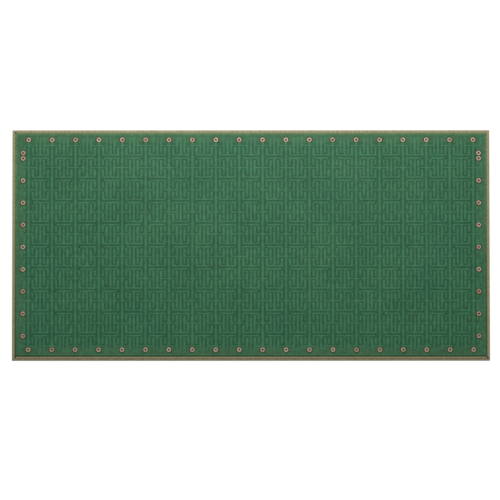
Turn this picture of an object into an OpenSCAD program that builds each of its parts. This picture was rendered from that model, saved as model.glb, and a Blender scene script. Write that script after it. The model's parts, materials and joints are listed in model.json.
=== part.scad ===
// Capacitive touchpad sensor board: a bare green laminate with an etched matrix of
// interleaved electrodes on its touch side and its controller and cable connector behind.
// X runs along the board, Y across it and Z out of the touch side. The origin is the middle
// of the board in the plane of the raised copper on the touch side.

/* [Sensor matrix] */
// Column electrodes, side by side along the board
column_count = 20; // [4:2:30]
// Row electrodes, one below the other
row_count = 10; // [10:2:14]
// Distance from one column to the next
column_pitch = 5.15; // [4.9:0.05:6.5]
// Distance from one row to the next
row_pitch = 5; // [4.7:0.05:6]
// How far the matrix sits below the middle of the board
matrix_drop = 0.14; // [0:0.01:0.2]
// Width of a column's spine
spine_width = 0.46; // [0.2:0.01:0.6]
// Width of the bars that branch off the spine in the middle of each row
branch_width = 0.26; // [0.15:0.01:0.5]
// How far a branch reaches from the middle of its spine
branch_reach = 1.97; // [1:0.01:2.1]
// Width of the stem of a row island
stem_width = 0.44; // [0.2:0.01:0.6]
// Width of the bar along the top of a row island
bar_width = 0.35; // [0.2:0.01:0.6]
// Etched gap between one row and the next
row_gap = 0.3; // [0.15:0.01:0.5]
// Etched gap between a spine and the bars of the row islands beside it
spine_gap = 0.45; // [0.2:0.01:0.7]

/* [Board] */
// Thickness of the laminate
laminate_thickness = 1.6; // [0.8:0.1:2]
// From the outermost spine to the short edge
short_edge_margin = 3.575; // [3.5:0.005:6]
// From the end pads of the columns to the long edge
long_edge_margin = 2.15; // [2.1:0.05:5]
// Bare laminate left round the solder mask
bare_margin = 0.6; // [0.1:0.05:0.6]
// Thickness of the solder mask
mask_thickness = 0.02; // [0.01:0.005:0.04]
// Thickness of the copper
copper_thickness = 0.035; // [0.03:0.005:0.07]

/* [Plated pads] */
// Diameter of a pad on the touch side
pad_diameter = 1.06; // [0.8:0.02:1.14]
// Diameter of a pad on the rear
rear_pad_diameter = 0.8; // [0.6:0.02:0.9]
// Diameter of the open hole
hole_diameter = 0.35; // [0.2:0.05:0.4]
// Thickness of the copper that lines the hole
plating = 0.03; // [0.02:0.005:0.05]
// Space between a pad and the mask round it
mask_clearance = 0.05; // [0.03:0.01:0.06]
// Space between a pad and the copper of another net
copper_clearance = 0.2; // [0.1:0.01:0.3]
// From the outer end of the matrix in to the end pads of the columns
column_pad_inset = 1.35; // [1.3:0.01:1.44]
// From the outermost spine out to the row pads
row_pad_offset = 1.225; // [1.2:0.005:1.4]
// From a row's top gap down to its pad
row_pad_drop = 0.41; // [0.35:0.01:1]
// Distance between the pads of the first two rows
first_pair_spacing = 1.2; // [1.15:0.01:1.5]

/* [Guard trace] */
// Width of the guard trace
guard_width = 0.25; // [0.15:0.01:0.3]
// From the end pads of the columns out to the guard trace
guard_offset_long = 1.04; // [1:0.01:1.2]
// From the row pads out to the guard trace
guard_offset_short = 1.25; // [1.05:0.01:1.4]

/* [Rear tracks] */
// Width of a track
track_width = 0.12; // [0.08:0.01:0.14]
// Distance between the tracks that run up the short edge
edge_track_pitch = 0.22; // [0.2:0.01:0.23]
// Corner cut of a track
track_chamfer = 0.3; // [0:0.05:0.4]

/* [Controller] */
// Side of the square package
controller_size = 7; // [6.6:0.1:8]
// Height of the package
controller_height = 0.85; // [0.7:0.05:1]
// Terminals on each side
controller_side_pins = 12; // [12]
// Distance between terminals
controller_pin_pitch = 0.5; // [0.45:0.01:0.52]
// Width of a terminal
controller_pin_width = 0.25; // [0.15:0.01:0.3]
// Length of a terminal under the package
controller_pin_length = 0.4; // [0.3:0.05:0.5]
// Thickness of the terminals and of the thermal pad
controller_pin_thickness = 0.2; // [0.1:0.01:0.25]
// Side of the thermal pad
thermal_pad_size = 5.2; // [4:0.1:5.3]
// Middle of the package across the board
controller_y = -1.5; // [-2.5:0.1:-1.4]

/* [Cable connector] */
// Contacts of the connector
contact_count = 12; // [10:1:16]
// Distance between contacts
contact_pitch = 0.5; // [0.5:0.1:0.8]
// Width of a contact
contact_width = 0.2; // [0.15:0.01:0.25]
// Thickness of the contact's metal
contact_thickness = 0.12; // [0.1:0.01:0.14]
// Plastic at each end of the housing, outside the cable
housing_end = 1.9; // [1.7:0.05:3]
// Depth of the housing from mouth to back
housing_depth = 3.9; // [3.7:0.1:5]
// Height of the housing
housing_height = 2; // [1.9:0.05:2.5]
// Thickness of the housing's floor
housing_floor = 0.55; // [0.5:0.01:0.6]
// Thickness of the housing's roof
housing_roof = 0.4; // [0.3:0.05:0.45]
// Thickness of the housing's back wall
housing_back = 1.05; // [0.8:0.05:1.3]
// Thickness of the flat cable's stiffened end
cable_thickness = 0.3; // [0.2:0.01:0.35]
// Depth of the slider's front bar
slider_bar_depth = 1; // [0.8:0.05:1.4]
// How far the slider pulls out
slider_travel = 0.9; // [0.5:0.05:1]
// Running space between the slider and the housing
slider_clearance = 0.05; // [0.03:0.01:0.08]
// Thickness of a slider arm
slider_arm = 0.45; // [0.3:0.05:0.6]
// Middle of the housing along the board
connector_x = 22; // [16:0.5:26]
// Middle of the housing across the board
connector_y = 17; // [16.8:0.1:17.5]

/* [Small parts] */
// Length of a chip capacitor or resistor
chip_length = 1; // [0.9:0.05:1.1]
// Width of a chip capacitor or resistor
chip_width = 0.5; // [0.4:0.05:0.6]
// Length of a chip's metal end
chip_end = 0.25; // [0.15:0.05:0.3]
// Height of a ceramic capacitor
capacitor_height = 0.5; // [0.3:0.05:0.6]
// Height of a chip resistor
resistor_height = 0.35; // [0.3:0.05:0.5]
// Distance between the capacitors beside the controller
capacitor_pitch = 2.2; // [1.8:0.1:3]
// Length of the ferrite bead
bead_length = 1.6; // [1.4:0.1:1.8]
// Width of the ferrite bead
bead_width = 0.8; // [0.6:0.05:1]
// Length of the bead's metal end
bead_end = 0.35; // [0.2:0.05:0.5]
// Height of the ferrite bead
bead_height = 0.8; // [0.6:0.05:1]
// Length of the regulator's package
regulator_length = 2.9; // [2.7:0.1:3.1]
// Width of the regulator's package
regulator_width = 1.6; // [1.5:0.1:1.8]
// Height of the regulator's package
regulator_height = 1.1; // [0.9:0.05:1.3]
// Diameter of a test pad
test_pad_diameter = 1; // [0.6:0.1:1.5]
// Number of test pads
test_pad_count = 6; // [2:1:6]
// Diameter of a fiducial mark
fiducial_diameter = 1; // [0.8:0.1:1.5]

/* [Hidden] */
$fn = 48;

LAMINATE = [0.71, 0.62, 0.43];
MASK = [0.16, 0.37, 0.25];
COATED_COPPER = [0.25, 0.45, 0.33];
PAD_COPPER = [0.80, 0.65, 0.52];
TIN = [0.78, 0.78, 0.76];
PACKAGE = [0.13, 0.13, 0.14];
CERAMIC = [0.62, 0.50, 0.38];
IVORY = [0.88, 0.85, 0.76];
BROWN = [0.30, 0.22, 0.17];

// Matrix
first_spine_x = (column_count - 1) / 2 * column_pitch;
matrix_half = row_count * row_pitch / 2;
column_pad_y = matrix_half - column_pad_inset;
row_pad_x = first_spine_x + row_pad_offset;
board_length = 2 * (first_spine_x + short_edge_margin);
board_width = 2 * (column_pad_y + long_edge_margin);
mask_top = -copper_thickness;
front_face = mask_top - mask_thickness;
rear_face = front_face - laminate_thickness;
rear_mask_face = rear_face - mask_thickness;
barrel_diameter = hole_diameter + 2 * plating;
island_half = column_pitch / 2 - spine_width / 2 - spine_gap;
guard_x = row_pad_x + guard_offset_short;
guard_y = column_pad_y + guard_offset_long;
stem_end = guard_y - guard_width / 2 - copper_clearance;
spine_end = column_pad_y - pad_diameter / 2 - mask_clearance;

function column_x(i) = (i - (column_count - 1) / 2) * column_pitch;
function island_x(i) = (i - (column_count - 2) / 2) * column_pitch;
function row_y(j) = ((row_count - 1) / 2 - j) * row_pitch - matrix_drop;
function gap_y(j) = row_y(j) + row_pitch / 2;
function row_pad_y(j) = j == 0 ? row_pad_y(1) + first_pair_spacing : gap_y(j) - row_pad_drop;
function reversed(list) = [for (i = [len(list) - 1 : -1 : 0]) list[i]];
function joined(lists) = [for (list = lists, item = list) item];

// Every plated pad
COLUMN_PADS = joined([
    for (i = [0 : column_count - 1])
        [[column_x(i), column_pad_y], [column_x(i), -column_pad_y]]
]);
ROW_PADS = joined([
    for (j = [0 : row_count - 1])
        [[-row_pad_x, row_pad_y(j)], [row_pad_x, row_pad_y(j)]]
]);

// Controller, with its terminals numbered from -x or -y on each side
pin_span = (controller_side_pins - 1) * controller_pin_pitch;
land_toe = 0.35;
controller_reach = controller_size / 2 + land_toe;
function pin_offset(k) = k * controller_pin_pitch - pin_span / 2;

// Connector
cable_width = (contact_count + 1) * contact_pitch;
housing_width = cable_width + 2 * housing_end;
mouth_play = 0.15;
mouth_width = cable_width + 2 * mouth_play;
mouth_top = housing_height - housing_roof;
cable_floor = housing_floor + slider_clearance;
cable_play = 0.17;
cable_roof = cable_floor + cable_thickness + cable_play;
slider_base = 0.35;
slider_top = 1.75;
tongue_depth = 2.3;
arm_length = 2.6;
arm_base = 1;
arm_top = 1.6;
nib_length = 0.4;
nib_depth = 0.17;
tail_reach = 0.8;
contact_play = 0.02;
contact_side = 0.08;
contact_stop = 0.85;
contact_crown = 0.06;
riser_gap = 0.1;
cut_overlap = 0.01;
cut_reach = 1;
function contact_x(k) = (k - (contact_count - 1) / 2) * contact_pitch;

// Small parts, with a chip as [length, width, metal end]
CHIP = [chip_length, chip_width, chip_end];
BEAD = [bead_length, bead_width, bead_end];
chip_land_toe = 0.15;
chip_land_side = 0.1;
series_contacts = [2, 4, 6, 8];
series_drop = 1.65;
series_y = connector_y - housing_depth / 2 - tail_reach - series_drop;
signal_levels = [6.5, 5.5];
chip_row_y = 3.3;
chip_row_gap = 3.2;
chip_row_x = controller_reach + chip_row_gap;
regulator_offset = 9;
regulator_x = connector_x + regulator_offset;
regulator_y = series_y;
regulator_capacitor_gap = 1.25;
regulator_pins = [[-1, -1], [0, -1], [1, -1], [-1, 1], [1, 1]];
regulator_pin_pitch = 0.95;
regulator_pin_width = 0.4;
regulator_toe = 0.6;
regulator_foot = 0.15;
lead_thickness = 0.15;
bead_offset = 4;
bead_x = connector_x + bead_offset;
test_pad_pitch = 2;
test_pad_x = regulator_x + regulator_length + capacitor_pitch;
test_pad_y = signal_levels[1];
fiducial_x = first_spine_x - column_pitch / 2;
FIDUCIALS = [[fiducial_x, connector_y], [-fiducial_x, row_y(7)]];
// Capacitors and resistors as [x, y, turn]
CAPACITORS = concat(
    [for (k = [0 : 3]) [chip_row_x + k * capacitor_pitch, chip_row_y, 0]],
    [
        for (s = [-1, 1])
            [regulator_x + s * (regulator_length / 2 + regulator_capacitor_gap), regulator_y, 90]
    ]
);
RESISTORS = [for (k = series_contacts) [connector_x + contact_x(k), series_y, 90]];

// Puts its children on the rear, at a place and turn, standing away from the board
module on_rear(place) {
    translate([place[0], place[1], rear_face])
        mirror([0, 0, 1]) rotate([0, 0, len(place) > 2 ? place[2] : 0]) children();
}

module centred_block(size, base = 0) {
    translate([-size[0] / 2, -size[1] / 2, base]) cube(size);
}

// ---------- Board ----------
module laminate() {
    color(LAMINATE) difference() {
        centred_block([board_length, board_width, laminate_thickness], rear_face);
        for (p = concat(COLUMN_PADS, ROW_PADS))
            translate([p[0], p[1], rear_face - cut_reach])
                cylinder(d = barrel_diameter, h = laminate_thickness + 2 * cut_reach);
    }
}

module mask_sheet(base) {
    centred_block(
        [board_length - 2 * bare_margin, board_width - 2 * bare_margin, mask_thickness], base);
}

module front_mask() {
    color(MASK) difference() {
        mask_sheet(front_face);
        for (p = concat(COLUMN_PADS, ROW_PADS))
            translate([p[0], p[1], front_face - cut_reach])
                cylinder(d = pad_diameter + 2 * mask_clearance, h = 2 * cut_reach);
    }
}

module rear_mask() {
    color(MASK) difference() {
        mask_sheet(rear_mask_face);
        for (p = concat(COLUMN_PADS, ROW_PADS))
            translate([p[0], p[1], rear_face - 1])
                cylinder(d = rear_pad_diameter + 2 * mask_clearance, h = 2);
        on_rear([0, controller_y]) controller_window();
        for (p = concat(CAPACITORS, RESISTORS)) on_rear(p) chip_window(CHIP);
        on_rear([bead_x, series_y, 90]) chip_window(BEAD);
        on_rear([regulator_x, regulator_y]) regulator_window();
        on_rear([connector_x, connector_y]) connector_window();
        for (k = [0 : test_pad_count - 1])
            on_rear([test_pad_x + k * test_pad_pitch, test_pad_y])
                translate([0, 0, -1])
                    cylinder(d = test_pad_diameter + 2 * mask_clearance, h = 2);
        for (p = FIDUCIALS)
            on_rear(p) translate([0, 0, -1]) cylinder(d = 2 * fiducial_diameter, h = 2);
    }
}

// ---------- Sensor matrix ----------
// One side of a spine where a branch leaves it, from the bottom up
function branch_points(side, y) = [
    [side * spine_width / 2, y - branch_width / 2],
    [side * branch_reach, y - branch_width / 2],
    [side * branch_reach, y + branch_width / 2],
    [side * spine_width / 2, y + branch_width / 2]
];

function column_points() =
    let (
        right = joined([for (j = [row_count - 1 : -1 : 0]) branch_points(1, row_y(j))]),
        left = joined([for (j = [row_count - 1 : -1 : 0]) branch_points(-1, row_y(j))])
    )
    concat(
        [[-spine_width / 2, -spine_end], [spine_width / 2, -spine_end]], right,
        [[spine_width / 2, spine_end], [-spine_width / 2, spine_end]], reversed(left)
    );

// The step that copper gives the mask over it, on the touch side
module raised(place) {
    translate([place[0], place[1], mask_top]) linear_extrude(copper_thickness) children();
}

module column_electrodes() {
    color(COATED_COPPER)
        for (i = [0 : column_count - 1])
            raised([column_x(i), 0]) polygon(column_points());
}

// An island with its bar along the gap above it. The first row has no gap above, so it is
// turned over and keeps its bar along the gap below.
function island_points(bar_y, bar_side, stem_y) = [
    [-island_half, bar_y], [island_half, bar_y],
    [island_half, bar_y - bar_side * bar_width], [stem_width / 2, bar_y - bar_side * bar_width],
    [stem_width / 2, stem_y], [-stem_width / 2, stem_y],
    [-stem_width / 2, bar_y - bar_side * bar_width], [-island_half, bar_y - bar_side * bar_width]
];

module row_electrodes() {
    last = row_count - 1;
    color(COATED_COPPER)
        for (i = [0 : column_count - 2], j = [0 : last])
            raised([island_x(i), 0])
                if (j == 0)
                    polygon(island_points(gap_y(1) + row_gap / 2, -1, stem_end));
                else
                    polygon(island_points(
                        gap_y(j) - row_gap / 2, 1,
                        j == last ? -stem_end : gap_y(j + 1) + row_gap / 2));
}

module guard_trace() {
    color(COATED_COPPER) raised([0, 0]) difference() {
        square([2 * guard_x + guard_width, 2 * guard_y + guard_width], center = true);
        square([2 * guard_x - guard_width, 2 * guard_y - guard_width], center = true);
    }
}

// ---------- Plated pads ----------
function pad_section() = [
    [hole_diameter / 2, rear_face - copper_thickness],
    [rear_pad_diameter / 2, rear_face - copper_thickness],
    [rear_pad_diameter / 2, rear_face],
    [barrel_diameter / 2, rear_face],
    [barrel_diameter / 2, front_face],
    [pad_diameter / 2, front_face],
    [pad_diameter / 2, front_face + copper_thickness],
    [hole_diameter / 2, front_face + copper_thickness]
];

module plated_pads(places) {
    color(PAD_COPPER)
        for (p = places)
            translate([p[0], p[1], 0]) rotate_extrude() polygon(pad_section());
}

module column_pads() {
    plated_pads(COLUMN_PADS);
}

module row_pads() {
    plated_pads(ROW_PADS);
}

// ---------- Rear tracks ----------
// A path with each inner corner cut at 45 degrees
function cut_corners(path) = [
    for (i = [0 : len(path) - 1])
        each i == 0 || i == len(path) - 1
            ? [path[i]]
            : [toward(path[i], path[i - 1]), toward(path[i], path[i + 1])]
];
function toward(from, to) =
    from + (to - from) / norm(to - from) * min(track_chamfer, norm(to - from) / 2.5);
function left_of(a, b) = [a[1] - b[1], b[0] - a[0]] / norm(b - a);

// The outline of a track of even width that follows a path
function ribbon(path) =
    let (
        last = len(path) - 1,
        shift = [
            for (i = [0 : last])
                let (
                    n1 = left_of(path[max(i - 1, 0)], path[max(i, 1)]),
                    n2 = left_of(path[min(i, last - 1)], path[min(i + 1, last)])
                )
                (n1 + n2) / (1 + n1 * n2) * track_width / 2
        ]
    )
    concat(
        [for (i = [0 : last]) path[i] + shift[i]],
        [for (i = [last : -1 : 0]) path[i] - shift[i]]
    );

track_start = rear_pad_diameter / 2 + mask_clearance;
half_columns = column_count / 2;
side_columns = min(half_columns - 2, 8);
column_fan_step = 3;
inner_pin = 3;

// A column's path from its lower pad, counted from the middle of the board: the first two
// go up under the controller, and the others turn in at its side
function column_path(side, k) =
    let (x = side * (k + 0.5) * column_pitch, start = -column_pad_y + track_start)
    k < 2
        ? let (
            level = start + (k + 1) * column_fan_step,
            pin = side * (pin_span / 2 - (k == 0 ? inner_pin : 0) * controller_pin_pitch)
        ) [[x, start], [x, level], [pin, level], [pin, controller_y - controller_reach]]
        : let (pin = controller_y + pin_offset(k - 2))
        [[x, start], [x, pin], [side * controller_reach, pin]];

// The rows come in from the left pads. The upper half run straight in, and the lower half
// first climb the short edge.
upper_rows = 5;
climb_first = 1;
climb_step = 0.6;
function row_path(j) =
    let (
        y = row_pad_y(j),
        climbs = j >= upper_rows,
        k = j - upper_rows,
        pin = pin_offset(climbs ? 1 + k : (j == upper_rows - 1 ? 0 : 5 + upper_rows - 1 - j)),
        edge_x = -row_pad_x - track_start - (k + 1) * edge_track_pitch,
        level = row_pad_y(upper_rows - 1) + climb_first + k * climb_step,
        top = controller_y + controller_reach
    )
    climbs
        ? [[-row_pad_x - track_start, y], [edge_x, y], [edge_x, level], [pin, level], [pin, top]]
        : [[-row_pad_x + track_start, y], [pin, y], [pin, top]];

// A signal's path from its series resistor to the controller
function signal_path(k) =
    let (
        x = connector_x + contact_x(series_contacts[k]),
        start = series_y - chip_land_x(CHIP) - chip_land(CHIP)[0] / 2 - mask_clearance
    )
    k < 2
        ? let (pin = pin_offset(controller_side_pins - 2 + k))
        [
            [x, start], [x, signal_levels[k]], [pin, signal_levels[k]],
            [pin, controller_y + controller_reach]
        ]
        : let (pin = controller_y + pin_offset(controller_side_pins + 1 - k))
        [[x, start], [x, pin], [controller_reach, pin]];

module track(path) {
    translate([0, 0, rear_mask_face - copper_thickness])
        linear_extrude(copper_thickness) polygon(ribbon(cut_corners(path)));
}

module rear_tracks() {
    color(COATED_COPPER) {
        for (side = [-1, 1], k = [0 : side_columns + 1]) track(column_path(side, k));
        for (j = [0 : row_count - 1]) track(row_path(j));
        for (k = [0 : len(series_contacts) - 1]) track(signal_path(k));
    }
}

// ---------- Lands, test pads and fiducials ----------
module land(size, place) {
    translate([place[0] - size[0] / 2, place[1] - size[1] / 2, 0])
        cube([size[0], size[1], copper_thickness]);
}

module window(size, place = [0, 0]) {
    translate([place[0], place[1], -1])
        centred_block([size[0] + 2 * mask_clearance, size[1] + 2 * mask_clearance, 2]);
}

land_length = controller_pin_length + land_toe;
land_middle = controller_size / 2 - controller_pin_length + land_length / 2;

module controller_window() {
    window([2 * controller_reach, 2 * controller_reach]);
}

module controller_lands() {
    for (turn = [0 : 90 : 270], k = [0 : controller_side_pins - 1])
        rotate([0, 0, turn])
            land([land_length, controller_pin_width], [land_middle, pin_offset(k)]);
    land([thermal_pad_size, thermal_pad_size], [0, 0]);
}

function chip_land(size) = [size[2] + chip_land_toe, size[1] + 2 * chip_land_side];
function chip_land_x(size) = size[0] / 2 + chip_land_toe - chip_land(size)[0] / 2;

module chip_window(size) {
    for (s = [-1, 1]) window(chip_land(size), [s * chip_land_x(size), 0]);
}

module chip_lands(size) {
    for (s = [-1, 1]) land(chip_land(size), [s * chip_land_x(size), 0]);
}

regulator_land = [
    regulator_pin_width + chip_land_toe, regulator_toe + chip_land_toe
];
regulator_land_y = regulator_width / 2 + regulator_land[1] / 2;

module regulator_window() {
    for (p = regulator_pins)
        window(regulator_land, [p[0] * regulator_pin_pitch, p[1] * regulator_land_y]);
}

module regulator_lands() {
    for (p = regulator_pins)
        land(regulator_land, [p[0] * regulator_pin_pitch, p[1] * regulator_land_y]);
}

tail_land = [contact_width + contact_side, tail_reach];
tail_land_y = -housing_depth / 2 - tail_reach / 2 - riser_gap;
tab_size = [0.8, 1.4];
tab_land = tab_size + [chip_land_toe, 2 * chip_land_side];
tab_x = housing_width / 2 + tab_size[0] / 2;
tab_y = 0.4;
tab_height = 0.8;
tab_thickness = 0.2;

module connector_window() {
    window([cable_width, tail_land[1]], [0, tail_land_y]);
    for (s = [-1, 1]) window(tab_land, [s * tab_x, tab_y]);
}

module connector_lands() {
    for (k = [0 : contact_count - 1]) land(tail_land, [contact_x(k), tail_land_y]);
    for (s = [-1, 1]) land(tab_land, [s * tab_x, tab_y]);
}

module rear_lands() {
    color(TIN) {
        on_rear([0, controller_y]) controller_lands();
        for (p = concat(CAPACITORS, RESISTORS)) on_rear(p) chip_lands(CHIP);
        on_rear([bead_x, series_y, 90]) chip_lands(BEAD);
        on_rear([regulator_x, regulator_y]) regulator_lands();
        on_rear([connector_x, connector_y]) connector_lands();
    }
}

module test_pads() {
    color(PAD_COPPER)
        for (k = [0 : test_pad_count - 1])
            on_rear([test_pad_x + k * test_pad_pitch, test_pad_y])
                cylinder(d = test_pad_diameter, h = copper_thickness);
}

module fiducials() {
    color(PAD_COPPER)
        for (p = FIDUCIALS) on_rear(p) cylinder(d = fiducial_diameter, h = copper_thickness);
}

// ---------- Controller ----------
module controller_pins(play = 0) {
    for (turn = [0 : 90 : 270], k = [0 : controller_side_pins - 1])
        rotate([0, 0, turn])
            translate([controller_size / 2 - controller_pin_length,
                pin_offset(k) - controller_pin_width / 2, 0])
                cube([controller_pin_length + play, controller_pin_width,
                    controller_pin_thickness]);
}

module controller_body() {
    color(PACKAGE) on_rear([0, controller_y]) translate([0, 0, copper_thickness])
        difference() {
            centred_block([controller_size, controller_size, controller_height]);
            centred_block([thermal_pad_size, thermal_pad_size, 1 + controller_pin_thickness], -1);
            controller_pins(1);
        }
}

module controller_terminals() {
    color(TIN) on_rear([0, controller_y]) translate([0, 0, copper_thickness]) controller_pins();
}

module controller_thermal_pad() {
    color(TIN) on_rear([0, controller_y]) translate([0, 0, copper_thickness])
        centred_block([thermal_pad_size, thermal_pad_size, controller_pin_thickness]);
}

// ---------- Chips ----------
module chip_body(size, height) {
    inset = 0.02;
    translate([0, 0, copper_thickness])
        centred_block([size[0] - 2 * size[2], size[1] - 2 * inset, height - inset], inset / 2);
}

module chip_ends(size, height) {
    for (s = [-1, 1])
        translate([s * (size[0] - size[2]) / 2, 0, copper_thickness])
            centred_block([size[2], size[1], height]);
}

module capacitor_bodies() {
    color(CERAMIC) for (p = CAPACITORS) on_rear(p) chip_body(CHIP, capacitor_height);
}

module capacitor_ends() {
    color(TIN) for (p = CAPACITORS) on_rear(p) chip_ends(CHIP, capacitor_height);
}

module resistor_bodies() {
    color(PACKAGE) for (p = RESISTORS) on_rear(p) chip_body(CHIP, resistor_height);
}

module resistor_ends() {
    color(TIN) for (p = RESISTORS) on_rear(p) chip_ends(CHIP, resistor_height);
}

module bead_body() {
    color(PACKAGE) on_rear([bead_x, series_y, 90]) chip_body(BEAD, bead_height);
}

module bead_ends() {
    color(TIN) on_rear([bead_x, series_y, 90]) chip_ends(BEAD, bead_height);
}

// ---------- Regulator ----------
regulator_draft = 0.08;
lead_exit = copper_thickness + regulator_foot + regulator_height / 2;

module regulator_body() {
    w = regulator_width / 2;
    base = copper_thickness + regulator_foot;
    color(PACKAGE) on_rear([regulator_x, regulator_y])
        translate([-regulator_length / 2, 0, 0]) rotate([90, 0, 90])
            linear_extrude(regulator_length) polygon([
                [-w + regulator_draft, base], [w - regulator_draft, base], [w, lead_exit],
                [w - regulator_draft, base + regulator_height],
                [-w + regulator_draft, base + regulator_height], [-w, lead_exit]
            ]);
}

// A gull-wing lead, from the side of the package down to its land
module regulator_leads() {
    w = regulator_width / 2;
    t = lead_thickness;
    knee = w + 0.25;
    color(TIN) on_rear([regulator_x, regulator_y])
        for (p = regulator_pins)
            translate([p[0] * regulator_pin_pitch, 0, 0]) rotate([0, 0, p[1] > 0 ? 0 : 180])
                translate([-regulator_pin_width / 2, 0, 0]) rotate([90, 0, 90])
                    linear_extrude(regulator_pin_width) polygon([
                        [w, lead_exit], [knee, lead_exit], [knee, copper_thickness + t],
                        [w + regulator_toe, copper_thickness + t],
                        [w + regulator_toe, copper_thickness],
                        [knee - t, copper_thickness], [knee - t, lead_exit - t],
                        [w - regulator_draft * t / regulator_height * 2, lead_exit - t]
                    ]);
}

// ---------- Cable connector ----------
module connector_place() {
    on_rear([connector_x, connector_y]) translate([0, 0, copper_thickness]) children();
}

module connector_housing() {
    front = housing_depth / 2;
    nib_run = nib_length + slider_travel + 2 * slider_clearance;
    arm_start = front + slider_clearance - arm_length;
    groove_width = contact_width + 2 * contact_play;
    groove_base = housing_floor - contact_thickness - 3 * contact_play;
    groove_stop = contact_stop - 8 * contact_play;
    color(IVORY) connector_place() difference() {
        centred_block([housing_width, housing_depth, housing_height]);
        // Mouth for the cable and the slider's tongue
        translate([-mouth_width / 2, -front + housing_back, housing_floor])
            cube([mouth_width, housing_depth, mouth_top - housing_floor]);
        // A groove for each contact, from the back through the wall to the mouth
        for (k = [0 : contact_count - 1])
            translate([contact_x(k) - groove_width / 2, -front - cut_reach, groove_base])
                cube([groove_width, cut_reach + housing_depth - groove_stop,
                    housing_floor - groove_base + cut_overlap]);
        // A run for the nib of each slider arm
        for (s = [-1, 1])
            translate([s * housing_width / 2 - nib_depth - slider_clearance,
                arm_start - slider_clearance, arm_base - slider_clearance])
                cube([2 * (nib_depth + slider_clearance), nib_run,
                    arm_top - arm_base + 2 * slider_clearance]);
    }
}

module connector_slider() {
    bar_start = housing_depth / 2 + slider_clearance;
    arm_x = housing_width / 2 + slider_clearance;
    bar_half = arm_x + slider_arm;
    tongue_top = mouth_top - slider_clearance;
    color(BROWN) connector_place() difference() {
        union() {
            translate([-bar_half, bar_start, slider_base])
                cube([2 * bar_half, slider_bar_depth, slider_top - slider_base]);
            translate([-cable_width / 2, bar_start - tongue_depth, cable_roof])
                cube([cable_width, tongue_depth, tongue_top - cable_roof]);
            for (s = [-1, 1]) {
                translate([s * (arm_x + slider_arm / 2) - slider_arm / 2,
                    bar_start - arm_length, arm_base])
                    cube([slider_arm, arm_length, arm_top - arm_base]);
                translate([s * (arm_x - nib_depth / 2) - nib_depth / 2,
                    bar_start - arm_length, arm_base])
                    cube([nib_depth, nib_length, arm_top - arm_base]);
            }
        }
        // Slot for the flat cable
        translate([-mouth_width / 2, bar_start - cut_reach, cable_floor])
            cube([mouth_width, slider_bar_depth + 2 * cut_reach, cable_roof - cable_floor]);
    }
}

// A contact: a tail on its land, a riser, and a beam with a crown that meets the cable
module connector_contacts() {
    back = -housing_depth / 2;
    t = contact_thickness;
    beam_base = housing_floor - t - 2 * contact_play;
    beam_top = beam_base + t;
    tip = housing_depth / 2 - contact_stop;
    crown = cable_floor + contact_crown;
    riser = back - riser_gap;
    color(PAD_COPPER) connector_place()
        for (k = [0 : contact_count - 1])
            translate([contact_x(k) - contact_width / 2, 0, 0]) rotate([90, 0, 90])
                linear_extrude(contact_width) polygon([
                    [back - tail_reach, 0], [riser, 0], [riser, beam_base],
                    [tip, beam_base], [tip, beam_top], [tip - t, beam_top],
                    [tip - 2 * t, crown], [tip - 4 * t, beam_top],
                    [riser - t, beam_top], [riser - t, t], [back - tail_reach, t]
                ]);
}

module connector_solder_tabs() {
    color(TIN) connector_place()
        for (s = [-1, 1]) {
            translate([s * tab_x, tab_y, 0])
                centred_block([tab_size[0], tab_size[1], tab_thickness]);
            translate([s * (housing_width / 2 + tab_thickness / 2), tab_y, 0])
                centred_block([tab_thickness, tab_size[1], tab_height]);
        }
}

laminate();
front_mask();
rear_mask();
column_electrodes();
row_electrodes();
guard_trace();
column_pads();
row_pads();
rear_tracks();
rear_lands();
test_pads();
fiducials();
controller_body();
controller_terminals();
controller_thermal_pad();
capacitor_bodies();
capacitor_ends();
resistor_bodies();
resistor_ends();
bead_body();
bead_ends();
regulator_body();
regulator_leads();
connector_housing();
connector_slider();
connector_contacts();
connector_solder_tabs();
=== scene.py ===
"""Looks of a touchpad sensor board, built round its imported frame.

The board lies touch side up. The copper of its sensor matrix shows as raised, paler lands
under a green solder mask, with plated pads round the edges, and the controller and the
cable connector are soldered to the rear.
"""

import json
import logging
import math
from dataclasses import dataclass, field
from enum import Enum
from typing import Any, Iterable, Sequence

import bmesh
import bpy
from mathutils import Matrix, Vector


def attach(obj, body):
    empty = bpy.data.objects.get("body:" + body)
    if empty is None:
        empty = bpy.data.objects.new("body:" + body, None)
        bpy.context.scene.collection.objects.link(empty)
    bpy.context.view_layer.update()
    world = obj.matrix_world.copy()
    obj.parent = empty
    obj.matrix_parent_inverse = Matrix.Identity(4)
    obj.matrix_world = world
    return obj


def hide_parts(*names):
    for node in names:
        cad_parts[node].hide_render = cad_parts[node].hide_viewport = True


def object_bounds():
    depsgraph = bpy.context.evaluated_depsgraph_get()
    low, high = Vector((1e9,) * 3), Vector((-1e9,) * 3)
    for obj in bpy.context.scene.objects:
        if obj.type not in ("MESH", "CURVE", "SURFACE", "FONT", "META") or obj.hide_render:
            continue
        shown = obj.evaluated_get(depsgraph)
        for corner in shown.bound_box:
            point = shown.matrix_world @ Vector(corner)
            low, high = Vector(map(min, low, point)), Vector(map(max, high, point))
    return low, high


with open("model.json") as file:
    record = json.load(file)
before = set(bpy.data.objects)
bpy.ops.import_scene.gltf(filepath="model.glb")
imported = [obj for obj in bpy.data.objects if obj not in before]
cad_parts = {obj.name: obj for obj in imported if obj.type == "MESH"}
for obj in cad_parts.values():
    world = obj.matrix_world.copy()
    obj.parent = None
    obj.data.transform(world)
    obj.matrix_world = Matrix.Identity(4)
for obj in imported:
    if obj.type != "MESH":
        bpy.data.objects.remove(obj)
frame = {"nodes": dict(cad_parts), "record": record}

log = logging.getLogger("touchpad_board")

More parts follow.
